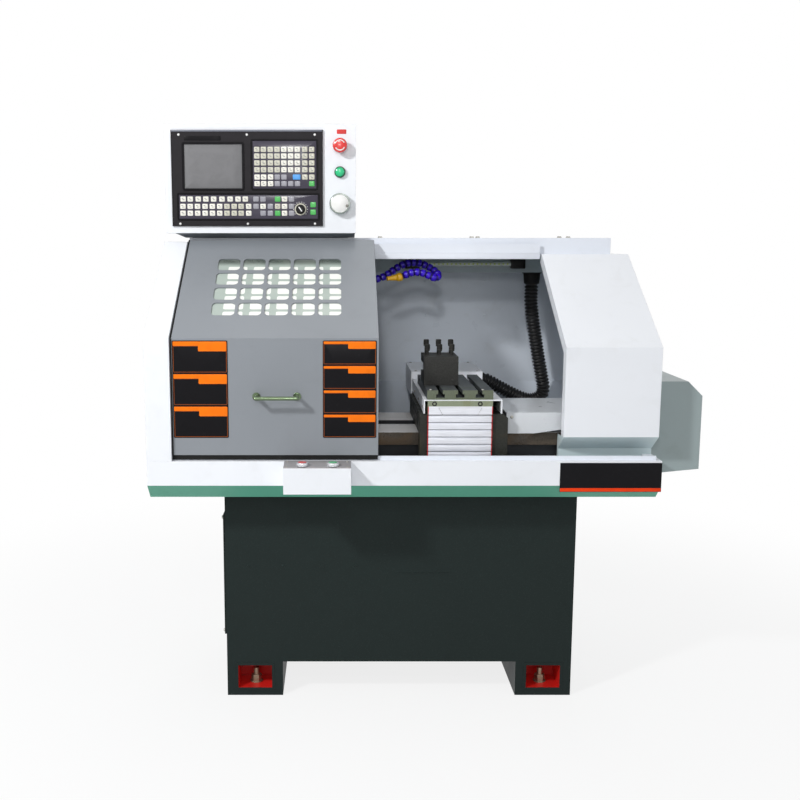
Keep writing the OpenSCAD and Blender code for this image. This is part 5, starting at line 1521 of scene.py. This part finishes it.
@dataclass
class Tray(SubAssembly):
    """The splash tray, its skirt, the name plate and the button box."""

    dressed = ((WHITE, "splash_tray"), (SKIRT_GREEN, "tray_skirt"), (WHITE, "button_box"))
    plate_x: Pair = (393, 650)
    plate_z: Pair = (605, 680)
    stripe_h: float = 9.0
    ring_r: float = 16.8
    plate_rise: float = 5.4
    drain_at: Point = (0, 486, 624)
    drain_bars: tuple = (-18, -9, 0, 9, 18)
    back_bolts_at: Pair = (740, 640)
    back_bolts_x: tuple = (-560, -300, -100, 200, 420, 600)

    def name_plate(self) -> None:
        """Makes the bare black plate on the fascia, with a plain red stripe along its foot."""
        x0, x1 = self.plate_x
        z0, z1 = self.plate_z
        at = machine((x0 + x1) / 2, 0, (z0 + z1) / 2)
        slab(x1 - x0, z1 - z0, 1.0, 1.0, 0.3).placed(at, FRONT).build("name_plate", PRINT_BLACK)
        foot = machine((x0 + x1) / 2, -0.9, z0 + self.stripe_h / 2 + 1)
        slab(x1 - x0 - 2, self.stripe_h, 0.4, 1.0, 0.15).placed(foot, FRONT).build(
            "name_plate_stripe", STRIPE_RED)

    def button_box(self) -> None:
        """Makes the box's steel top with its screws, and both buttons with their gaskets and bezels."""
        box = Box.of("button_box")
        w, d, _ = box.size
        axes = tilted(math.atan2(self.plate_rise, d))
        middle = box.top(w / 2, d / 2, self.plate_rise / 2 - 4.6)
        slab(w - 0.6, d - 1, 6.0, 2, 0.4).placed(middle, axes).build("button_box_top", PLATE_STEEL)
        for name, finish, body in (("stop", STOP_DULL, Body.STOP), ("run", RUN_DULL, Body.RUN)):
            node = f"{name}_button"
            button = Box.of(node)
            centre = np.array([*button.middle[:2], box.high[2] + 1.6])
            rise = button.high[2] - centre[2]
            base = hoop([(11.4, -0.6), (self.ring_r, -0.6), (self.ring_r, 0.7), (11.4, 0.7)], 40)
            base.placed(centre).build(f"{name}_gasket", BLACK_PLASTIC)
            bezel = hoop([(11.4, 0.6), (15.2, 0.6), (15.9, 1.6), (15.9, rise - 0.4), (15.1, rise + 1.3),
                          (13.2, rise + 2.1), (11.4, rise + 1.8)], 48)
            bezel.placed(centre).build(f"{name}_bezel", RING_SILVER)
            cap = turned([(0, 5.4), (10.6, 5.4), (10.9, rise + 1.6), (9.6, rise + 2.9), (6.5, rise + 3.5),
                          (0, rise + 3.7)], 32)
            cap.placed(centre).build(f"{name}_cap", finish, body, replaces=[node])
        screws = [middle + x * axes[0] + y * axes[1] + 5.9 * axes[2] for x in (9 - w / 2, w / 2 - 9)
                  for y in (8 - d / 2, d / 2 - 10)]
        socket_screw(3, 1.6).at(screws, axes).build("button_box_screws", SCREW_STEEL)

    def drain(self) -> None:
        """Makes the strainer over the drain: a rim and its crossing bars."""
        bars = slab(4, 50, 1.6, 1, 0.4).repeated([(x, 0, 0.4) for x in self.drain_bars])
        strainer = Shape.joined([washer(24, 34, 2.5, 0.8, 40), bars]).placed(machine(*self.drain_at))
        strainer.build("drain_strainer", SCREW_STEEL)

    def skirt_bolts(self) -> None:
        """Makes the hexagon bolts that hold the tray on its skirt, along the back."""
        places = [machine(x, *self.back_bolts_at) for x in self.back_bolts_x]
        hexagon(10, 4).placed((0, 0, -3.5)).at(places, BACK).build("tray_bolts", ZINC)

    steps = (name_plate, button_box, drain, skirt_bolts)


@dataclass
class Stand(SubAssembly):
    """The sheet-steel stand, its feet, its side panels and the coolant tank in it."""

    dressed = (
        (STAND_DARK, "base_cabinet", "access_panels"), (POCKET_RED, "foot_pockets"),
        (FOOT_STEEL, "levelling_bolts"), (INSIDE_GREY, "coolant_tank"), (PUMP_GREEN, "coolant_pump"),
    )
    dimple_x: tuple = (-408, -316, -210, -120)
    dimple_z: float = 367
    seam: tuple[float, float, float] = (-9, 131, 348)
    bolt_head_r: float = 14
    pocket_w: float = 100

    def front(self) -> None:
        """Makes the plugs and the narrow filler strip on the stand's face."""
        face_y = Box.of("base_cabinet").low[1] - TRAY.low[1]
        plug = turned([(0, 0), (5, 0), (4.8, 0.7), (3.4, 1.3), (0, 1.5)], 20)
        plugs = plug.at([machine(x, face_y, self.dimple_z) for x in self.dimple_x], FRONT)
        plugs.build("stand_plugs", STAND_DARK)
        x0, x1, z = self.seam
        strip = slab(x1 - x0, 2.4, 0.8, 1.1, 0.3).placed(machine((x0 + x1) / 2, face_y, z), FRONT)
        strip.build("stand_strip", STAND_DARK)

    def side_panels(self) -> None:
        """Makes the folded edges, the louvres and the screws of both side panels."""
        panels = Box.of("access_panels")
        _, d, h = panels.size
        fold, screw = rim(d - 1, h - 1, 16, 9.5, 3, 1.2), socket_screw(5, 4)
        louvre = slab(d - 120, 7, 5, 3, 1.5)
        deep = (10, d / 2, d - 10)
        for name, place, facing in (("left", panels.start, LEFT), ("right", panels.end, RIGHT)):
            fold.placed(place(d / 2, h / 2, -0.2), facing).build(f"{name}_panel_fold", STAND_DARK)
            screws = [place(y, z, 9.2) for y in deep for z in (10, h - 10)]
            screw.at(screws, facing).build(f"{name}_panel_screws", SCREW_STEEL)
            rows = [place(d / 2, z) for z in np.arange(h - 160, h - 50, 18.0)]
            louvre.at(rows, facing).build(f"{name}_panel_louvres", STAND_DARK)

    def pocket_frames(self) -> None:
        """Makes the welded frame round the mouth of each foot's pocket."""
        pockets = Box.of("foot_pockets")
        w, h = self.pocket_w, pockets.size[2]
        places = [pockets.front(x, h / 2, -0.1) for x in (w / 2, pockets.size[0] - w / 2)]
        rim(w + 7, h + 7, 7.5, 1.2, 2, 0.4).at(places, FRONT).build("pocket_frames", STAND_DARK)

    def bolts(self) -> None:
        """Makes the washers and the lock nuts of the four levelling bolts."""
        bolts = Box.of("levelling_bolts")
        r = self.bolt_head_r
        feet = [np.array((x, y, 0)) for x in (bolts.low[0] + r, bolts.high[0] - r)
                for y in (bolts.low[1] + r, bolts.high[1] - r)]
        washer(8.2, 18, 2.6, 0.6, 28).at([foot + (0, 0, 22.2) for foot in feet]).build(
            "foot_washers", FOOT_STEEL)
        lock = hoop([(8.1, 0), (14.5, 0), (14.5, 6), (12.6, 8), (8.1, 8)], 6)
        lock.at([foot + (0, 0, 35) for foot in feet]).build("foot_lock_nuts", FOOT_STEEL)

    def pump(self) -> None:
        """Makes the pump's cooling ribs and its terminal box."""
        pump = Box.of("coolant_pump")
        centre = np.array([pump.middle[0], pump.middle[1], pump.high[2] - 120])
        ribs = hoop([(49, 0), (50.5, 0), (50.5, 96), (49, 96)], 72)
        lobes = turned([(0, 4), (51, 4), (51, 98), (0, 98)], 120, 2.2, 30)
        Shape.joined([ribs, lobes]).placed(centre).build("pump_ribs", PUMP_GREEN)
        slab(60, 44, 26, 5, 2).placed(centre + (0, -46, 52), FRONT).build("pump_terminals", PUMP_GREEN)

    steps = (front, side_panels, pocket_frames, bolts, pump)


@dataclass
class Enclosure(SubAssembly):
    """The sheet-metal housings, the roof and the walls inside."""

    dressed = (
        (WHITE, "left_housing"), (HOUSING_FINISH, "right_housing"), (INSIDE_GREY, "back_wall"),
        (ROOF_FINISH, "roof"), (ROOF_WHITE, "door_rails"), (SIDE_GREY, "end_box"),
    )
    roof_bolts: tuple = (-48, 212, 229, 461, 486)
    lip: tuple = (-583, 402.5, 1183, 1199.6)
    lip_y: float = 391.8
    duct_y: float = 618
    duct_screws: tuple = (-540, -380, -220, -60, 110, 250, 480, 580)
    wall_y: float = 737
    wall_x: tuple = (-80, 110, 300)
    wall_z: Pair = (1000, 1110)
    housing_rivets: tuple = ((150, 220), (420, 220), (640, 220), (640, 420), (420, 470))
    closure_size: Pair = (59, 38)
    closure_at: Point = (-617.2, 737.2, 1209.5)
    hole_at: Pair = (265, 898)

    def roof(self) -> None:
        """Makes the roof's bolts with their washers, the lip under its front and the duct's lid screws."""
        roof = Box.of("roof")
        bolt = Shape.joined([washer(3, 7.5, 1.2, 0.3, 20), hexagon(10, 3.8).placed((0, 0, 1.0))])
        places = [by_middle(x, roof.low[1] + 10, roof.high[2]) for x in self.roof_bolts]
        bolt.at(places).build("roof_bolts", SCREW_STEEL)
        x0, x1, z0, z1 = self.lip
        middle = machine((x0 + x1) / 2, self.lip_y, (z0 + z1) / 2)
        slab(x1 - x0, z1 - z0, 2.5, 1, 0.5).placed(middle, FRONT).build("roof_lip", ROOF_WHITE)
        places = [machine(x, self.duct_y, roof.low[2] + 26) for x in self.duct_screws]
        socket_screw(3.6, 2.2).at(places, FRONT).build("duct_screws", ZINC)

    def walls(self) -> None:
        """Makes the wall's and the right housing's rivets, the rear closure and the bar hole's grommet."""
        rivet = turned([(0, 0), (4, 0), (3.4, 1.2), (1.8, 1.9), (0, 2)], 14)
        places = [machine(x, self.wall_y, z) for x in self.wall_x for z in self.wall_z]
        rivet.at(places, FRONT).build("wall_rivets", INSIDE_GREY)
        side = Box.of("right_housing")
        spots = [side.end(y, z) for y, z in self.housing_rivets]
        rivet.at(spots, RIGHT).build("housing_rivets", WHITE)
        closure = slab(*self.closure_size, 2.4, 1, 0.5).placed(machine(*self.closure_at), BACK)
        closure.build("left_rear_closure", WHITE)
        hole = machine(Box.of("left_housing").low[0] - TRAY.middle[0] + 5, *self.hole_at)
        hoop([(21.5, 0.2), (24.9, 0.2), (24.9, 4.9), (22.5, 4.9)], 48).placed(hole, LEFT).build(
            "bar_hole_grommet", RUBBER)

    def end_box(self) -> None:
        """Makes the end box's screws and the plate on its back."""
        box = Box.of("end_box")
        screw = socket_screw(4.5, 2.8)
        places = [box.front(10, z) for z in (30, 190)]
        screw.at(places, FRONT).build("end_box_screws", SCREW_STEEL)
        spots = [box.back(x, z) for x in (10, 90) for z in (30, 180)]
        screw.at(spots, BACK).build("end_box_rear_screws", SCREW_STEEL)
        slab(60, 40, 1.2, 2, 0.3).placed(box.back(52, 110), BACK).build("end_box_plate", PLATE_STEEL)

    steps = (roof, walls, end_box)


@dataclass
class Carriage(SubAssembly):
    """The saddle, the cross slide, the tool block and the slatted apron."""

    dressed = (
        (SADDLE_IRON, "saddle"), (WHITE, "x_motor_cover", "slide_guard"), (COVER_WHITE, "way_cover"),
        (BLACK_STEEL, "x_motor", "tool_block", "z_motor"), (SLIDE_STEEL, "slide_base"),
        (TABLE_FINISH, "slide_table"),
    )
    slats: int = 8
    bead_r: float = 1.5
    end_cap: float = 2.2
    head_t: float = 1.5
    head_gap: float = 2.4
    head_drop: float = 13.5
    slot_up: float = 20.4
    slot_half: Pair = (45.3, 55.3)
    plug_l: float = 26.0
    bolt_r: float = 5.0
    bolt_inset: tuple = (12, 45, 78)
    bolt_deep: tuple = (55, 88)
    front_bolts_lower: float = 10.0
    screws_x: tuple = (78.8, 195.6)

    def slatted_apron(self) -> None:
        """Makes the roll-up apron: its backing, its slats, the beads between them and the red end caps."""
        box = Box.of("apron")
        w, d, h = box.size
        pitch = h / self.slats
        heights = [pitch * (i + 0.5) for i in range(self.slats)]
        slab(w - 1, h, 2.0, 1, 0.4).placed(box.front(w / 2, h / 2, -d), FRONT).build(
            "apron_backing", BLACK_PLASTIC, Body.CARRIAGE, replaces=["apron"])
        body = slab(w - 2 * self.end_cap, pitch - 2 * self.bead_r - 1.0, d - 2, 0.8, 0.7, crown=0.5)
        body.at([box.front(w / 2, z - 0.6, 2 - d) for z in heights], FRONT).build(
            "apron_slats", SLAT_ALLOY, Body.CARRIAGE, replaces=["apron"])
        r = self.bead_r
        length = w - 2 * self.end_cap
        bead = turned([(0, 0), (r, 0.4), (r, length - 0.4), (0, length)], 10)
        ends = [np.array([box.low[0] + self.end_cap, box.high[1] - 4.6, box.low[2] + z + pitch / 2 - r])
                for z in heights]
        bead.at(ends, RIGHT).build("apron_beads", SLAT_ALLOY, Body.CARRIAGE, replaces=["apron"])
        cap = slab(self.end_cap, pitch - 1.6, d - 1.6, 0.5, 0.4)
        caps = [box.front(u, z, 1.6 - d) for u in (self.end_cap / 2, w - self.end_cap / 2) for z in heights]
        cap.at(caps, FRONT).build("apron_end_caps", EDGE_RED, Body.CARRIAGE, replaces=["apron"])
        self.head_slat(box)

    def head_slat(self, apron: Box) -> None:
        """Makes the slat on the slide's front, in two halves under a bridge, and the plug between them.

        The halves and the bridge move with the slide, and the plug stays in the dovetail slot.
        """
        base = Box.of("slide_base")
        low, half = apron.high[2] + self.head_gap, apron.size[0] / 2
        slot = self.slot_up - self.head_gap
        foot, head = self.slot_half
        top = base.high[2] - self.head_drop - low
        middle = np.array([apron.middle[0], base.low[1], low])
        edge, inner = half - self.end_cap, head + 0.4
        right = [(foot + 0.4, 0), (edge, 0), (edge, top), (inner, top), (inner, slot)]
        left = [(-x, z) for x, z in reversed(right)]
        bridge = [(-inner, slot), (inner, slot), (inner, top), (-inner, top)]
        Shape.joined([prism(corners, self.head_t) for corners in (left, bridge, right)]).placed(
            middle - (0, 0.1, 0), FRONT).build("apron_head_slat", SLAT_ALLOY, Body.SLIDE)
        ends = [middle + (side * (half - self.end_cap / 2), -0.1, top / 2) for side in (-1, 1)]
        slab(self.end_cap, top - 1, self.head_t, 0.5, 0.3).at(ends, FRONT).build(
            "apron_head_caps", EDGE_RED, Body.SLIDE)
        plug = prism([(-foot + 0.5, 0), (foot - 0.5, 0), (head - 0.6, slot - 0.5), (0.6 - head, slot - 0.5)],
                     self.plug_l)
        plug.placed(middle + (0, self.plug_l - self.head_t, 0), FRONT).build(
            "dovetail_plug", SLAT_ALLOY, Body.CARRIAGE)

    def clamp_bolts(self) -> None:
        """Makes the six square-headed clamp bolts, threaded and collared, and the tool block's plugs."""
        block, bolts = Box.of("tool_block"), Box.of("clamp_bolts")
        head_h, collar_h = 14.0, 4.0
        collar = turned([(0, 0), (6.5, 0), (7, 1), (7, 3), (6.5, collar_h), (0, collar_h)], 20)
        square = turned([(0, 0), (7.4, 0), (7.4, head_h - 2), (6, head_h), (0, head_h)], 4)
        rows = []
        for deep, shorter in zip(self.bolt_deep, (self.front_bolts_lower, 0)):
            shank = bolts.size[2] - head_h - collar_h - shorter
            thread = threaded(self.bolt_r, shank, 1.75, 0.9, 5, 12)
            head = square.placed((0, 0, shank + collar_h))
            bolt = Shape.joined([thread, collar.placed((0, 0, shank)), head])
            across, along = block.low[0] + np.array(self.bolt_inset), block.low[1] + deep
            rows.append(bolt.at([(x, along, bolts.low[2]) for x in across]))
        Shape.joined(rows).build("clamp_bolt_set", BLACK_STEEL, Body.SLIDE, replaces=["clamp_bolts"])
        spots = [block.front(x, z) for x in (14, block.size[0] - 14) for z in (13, 62)]
        socket_screw(4.3, 0.6).at(spots, FRONT).build("tool_block_plugs", BLACK_STEEL, Body.SLIDE)

    def slide_screws(self) -> None:
        """Makes the countersunk screws in the slide's front and the small oil cups on the table."""
        base = Box.of("slide_base")
        z = base.high[2] - 7
        screw = turned([(0, -0.6), (6.4, -0.6), (6.4, 0.3), (6, 0.6), (3.2, 0.6), (3, -0.4), (0, -0.4)], 20)
        places = [by_middle(x, base.low[1], z) for x in self.screws_x]
        screw.at(places, FRONT).build("slide_screws", BLACK_STEEL, Body.SLIDE)
        table = Box.of("slide_table")
        cup = turned([(0, -1), (4.5, -1), (4.5, 0.4), (3.6, 1.2), (2.2, 1.2), (1.6, 0.5), (0, 0.8)], 18)
        cups = cup.at([table.top(u, 12) for u in (9, table.size[0] - 26)])
        cups.build("oil_cups", SCREW_STEEL, Body.SLIDE)

    def covers(self) -> None:
        """Makes the screws of the way cover, the slide's guard and the motor cover."""
        cover, way, guard = Box.of("x_motor_cover"), Box.of("way_cover"), Box.of("slide_guard")
        screw = turned([(0, 0), (4.2, 0), (3.8, 1), (2.6, 1.8), (1.6, 2), (1.5, 1.2), (0, 1.2)], 16)
        tops = [cover.top(x, y) for x in (14, 195) for y in (16, 230)]
        screw.at(tops).build("motor_cover_screws", SCREW_STEEL, Body.CARRIAGE)
        fronts = [way.front(x, way.size[2] - 12) for x in (14, way.size[0] - 16)]
        screw.at(fronts, FRONT).build("way_cover_screws", SCREW_STEEL, Body.CARRIAGE)
        sides = [guard.start(y, 14) for y in (30, 165, 300)]
        screw.at(sides, LEFT).build("slide_guard_screws", SCREW_STEEL, Body.SLIDE)

    def motors(self) -> None:
        """Makes the screws of the Z feed motor's flange."""
        motor = Box.of("z_motor")
        places = [motor.start(y, z, -8.0) for y in (8, motor.size[1] - 8) for z in (8, motor.size[2] - 8)]
        socket_screw(4.5, 4).at(places, RIGHT).build("z_motor_screws", SCREW_STEEL)

    steps = (slatted_apron, clamp_bolts, slide_screws, covers, motors)


@dataclass
class Drive(SubAssembly):
    """The bed, the headstock, the spindle with its chuck, the ball screws and the spindle motor."""

    dressed = (
        (BED_FINISH, "bed"), (HEAD_GREY, "headstock"),
        (DISC_STEEL, "spindle_bearings", "spindle", "chuck_body", "jaw_1", "jaw_2", "jaw_3"),
        (PULLEY_IRON, "spindle_pulley", "motor_pulley"), (RUBBER, "drive_belt"),
        (MOTOR_BLUE, "spindle_motor"),
    )
    journal_r: float = 8
    journal_l: float = 92
    fins: int = 30
    face_screws_r: float = 52
    key_share: float = 0.6
    motor_at: Pair = (560, 800)
    motor_r: float = 80

    def screws(self) -> None:
        """Makes both ball screws, each with its thread and its plain journals."""
        z_box, x_box = Box.of("z_screw"), Box.of("x_screw")
        radius, journal, tail = z_box.size[1] / 2, self.journal_r, self.journal_l
        length = z_box.size[0] - tail
        rod = threaded(radius, length, 10, 2.2, 8, 16)
        end = turned([(0, 0), (journal, 0), (journal, tail - 1), (journal - 1, tail), (0, tail)], 20)
        middle = z_box.start(z_box.size[1] / 2, z_box.size[2] / 2)
        Shape.joined([rod, end.placed((0, 0, length))]).placed(middle, RIGHT).build(
            "z_ball_screw", SCREW_STEEL, Body.Z_SCREW, replaces=["z_screw"])
        rod = threaded(x_box.size[0] / 2, x_box.size[1], 5, 1.3, 7, 14)
        rod.placed(x_box.front(x_box.size[0] / 2, x_box.size[2] / 2), BACK).build(
            "x_ball_screw", SCREW_STEEL, Body.X_SCREW, replaces=["x_screw"])

    def chuck(self) -> None:
        """Makes the chuck's face rings, its front screws and its three key sockets."""
        chuck = Box.of("chuck_body")
        r = chuck.size[1] / 2
        centre = chuck.end(r, r)
        upright = np.array([(0, 0, 1), (0, -1, 0), (1, 0, 0)])
        beads = [arc(radius, middle - half, middle + half, 0.8) for middle in (60, 180, 300)
                 for radius, half in ((r - 3, 44), (24, 30))]
        Shape.joined(beads).placed(centre, upright).build("chuck_rings", DISC_STEEL, Body.SPINDLE)
        outward = [np.array((0, -math.sin(a), math.cos(a))) for a in np.radians((60, 180, 300))]
        socket_screw(7, 3).at([centre + self.face_screws_r * out for out in outward], RIGHT).build(
            "chuck_screws", BLACK_STEEL, Body.SPINDLE)
        socket = washer(5.5, 11, 1.2, 0.4, 24)
        inset = np.array((chuck.size[0] * self.key_share, 0, 0))
        along, deep = np.array((1, 0, 0)), r - 0.6
        sockets = [socket.placed(centre - inset + out * deep, np.array([along, np.cross(out, along), out]))
                   for out in outward]
        Shape.joined(sockets).build("chuck_key_sockets", BLACK_STEEL, Body.SPINDLE)

    def headstock(self) -> None:
        """Makes the headstock's lid screws and its oil sight."""
        head = Box.of("headstock")
        w, d, _ = head.size
        places = [head.top(x, y) for x in (16, w / 2, w - 16) for y in (16, d - 16)]
        socket_screw(6, 5).at(places).build("headstock_screws", BLACK_STEEL)
        sight = turned([(0, 0), (14, 0), (14, 4), (12, 5), (10, 3), (0, 2.4)], 32)
        sight.placed(head.front(w / 2, 70), FRONT).build("oil_sight", BRIGHT)

    def motor(self) -> None:
        """Makes the spindle motor's finned jacket and the rings of its fan grille."""
        motor = Box.of("spindle_motor")
        r, middle = self.motor_r + 1.5, machine(0, *self.motor_at) * (0, 1, 1)
        jacket = turned([(0, 0), (r, 0), (r, 178), (0, 178)], 180, 2.4, self.fins)
        jacket.placed(middle + (motor.low[0] + 16, 0, 0), RIGHT).build("motor_fins", MOTOR_BLUE)
        grille = [washer(x, x + 4, 1.6, 0.5, 48) for x in (18, 30, 42, 54)]
        Shape.joined(grille).placed(middle + (motor.high[0], 0, 0), RIGHT).build(
            "motor_fan_rings", PULLEY_IRON)

    steps = (screws, chuck, headstock, motor)


@dataclass
class Back(SubAssembly):
    """The electrical cabinet on the machine's back, its door and what is mounted in it."""

    dressed = ((WHITE, "electrical_cabinet", "cabinet_door"), (DRIVE_FINISH, "drive_panel"))
    lock_inset: Pair = (28, 110)
    louvres: int = 9
    louvres_up: float = 60
    louvre_pitch: float = 13
    gland_x: tuple = (110, 160, 210, 260, 420)
    door_face: float = 923.3
    drive_x: float = 67.5
    drive_pitch: float = 95
    drive_top: float = 390
    vent_rows: int = 6
    vent_pitch: float = 9
    vents_down: float = 20
    terminals_down: float = 150

    def door_pieces(self) -> None:
        """Makes the door's two quarter-turn locks, its louvres and the pressed panel on it."""
        box = Box.of("electrical_cabinet")
        face = machine(0, self.door_face, 0)[1]
        right, top, middle = box.high[0], box.high[2], box.middle[0]
        lock = turned([(0, 0), (13, 0), (13, 2), (11, 4), (8, 4.5), (7, 3.2), (0, 3.2)], 32)
        inset, up = self.lock_inset
        spots = [np.array([right - inset, face, z]) for z in (top - up, box.low[2] + up)]
        lock.at(spots, BACK).build("cabinet_locks", BRIGHT, Body.CABINET_DOOR)
        slab(4, 15, 2, 1.2, 0.4).at([p + (0, 3.0, 0) for p in spots], BACK).build(
            "cabinet_lock_keys", BLACK_PLASTIC, Body.CABINET_DOOR)
        louvre = slab(180, 6, 3.4, 2.8, 1.2)
        foot = box.low[2] + self.louvres_up
        rows = [(middle, face, foot + self.louvre_pitch * i) for i in range(self.louvres)]
        louvre.at(rows, BACK).build("cabinet_louvres", WHITE, Body.CABINET_DOOR)
        rim(440, 200, 5, 1.4, 14, 0.6).placed((middle, face, top - 150), BACK).build(
            "cabinet_door_pressing", WHITE, Body.CABINET_DOOR)

    def glands(self) -> None:
        """Makes the cable glands under the cabinet."""
        box = Box.of("electrical_cabinet")
        neck = turned([(0, 0), (10, 0), (10, 12), (8, 16), (0, 16)], 24).placed((0, 0, 7))
        places = [(box.low[0] + x, box.low[1] + 70, box.low[2]) for x in self.gland_x]
        Shape.joined([hexagon(26, 7), neck]).at(places, UNDER).build("cabinet_glands", BLACK_PLASTIC)

    def drives(self) -> None:
        """Makes the drive units' vent slots and their terminal strips."""
        panel = Box.of("drive_panel")
        tops = [panel.back(self.drive_x + self.drive_pitch * i, self.drive_top) for i in range(3)]
        vents = [top - (0, 0, self.vents_down + self.vent_pitch * k) for top in tops
                 for k in range(self.vent_rows)]
        slab(56, 3.4, 1.2, 1.6, 0.4).at(vents, BACK).build("drive_vents", BLACK_PLASTIC)
        terminals = [top - (0, 0, self.terminals_down) for top in tops]
        slab(64, 16, 6, 1.5, 0.8).at(terminals, BACK).build("drive_terminals", GREEN_PLASTIC)

    steps = (door_pieces, glands, drives)


SUB_ASSEMBLIES = (Studio, Services, Console, Door, Tray, Stand, Enclosure, Carriage, Drive, Back)


def main() -> None:
    """Builds every sub-assembly in order, and writes the two boxes beside the scene."""
    logging.basicConfig(level=logging.INFO, format="%(name)s: %(message)s")
    for kind in SUB_ASSEMBLIES:
        LOG.info("%s", kind.__doc__.splitlines()[0])
        kind().build()
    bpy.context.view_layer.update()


if __name__ == "__main__":
    main()
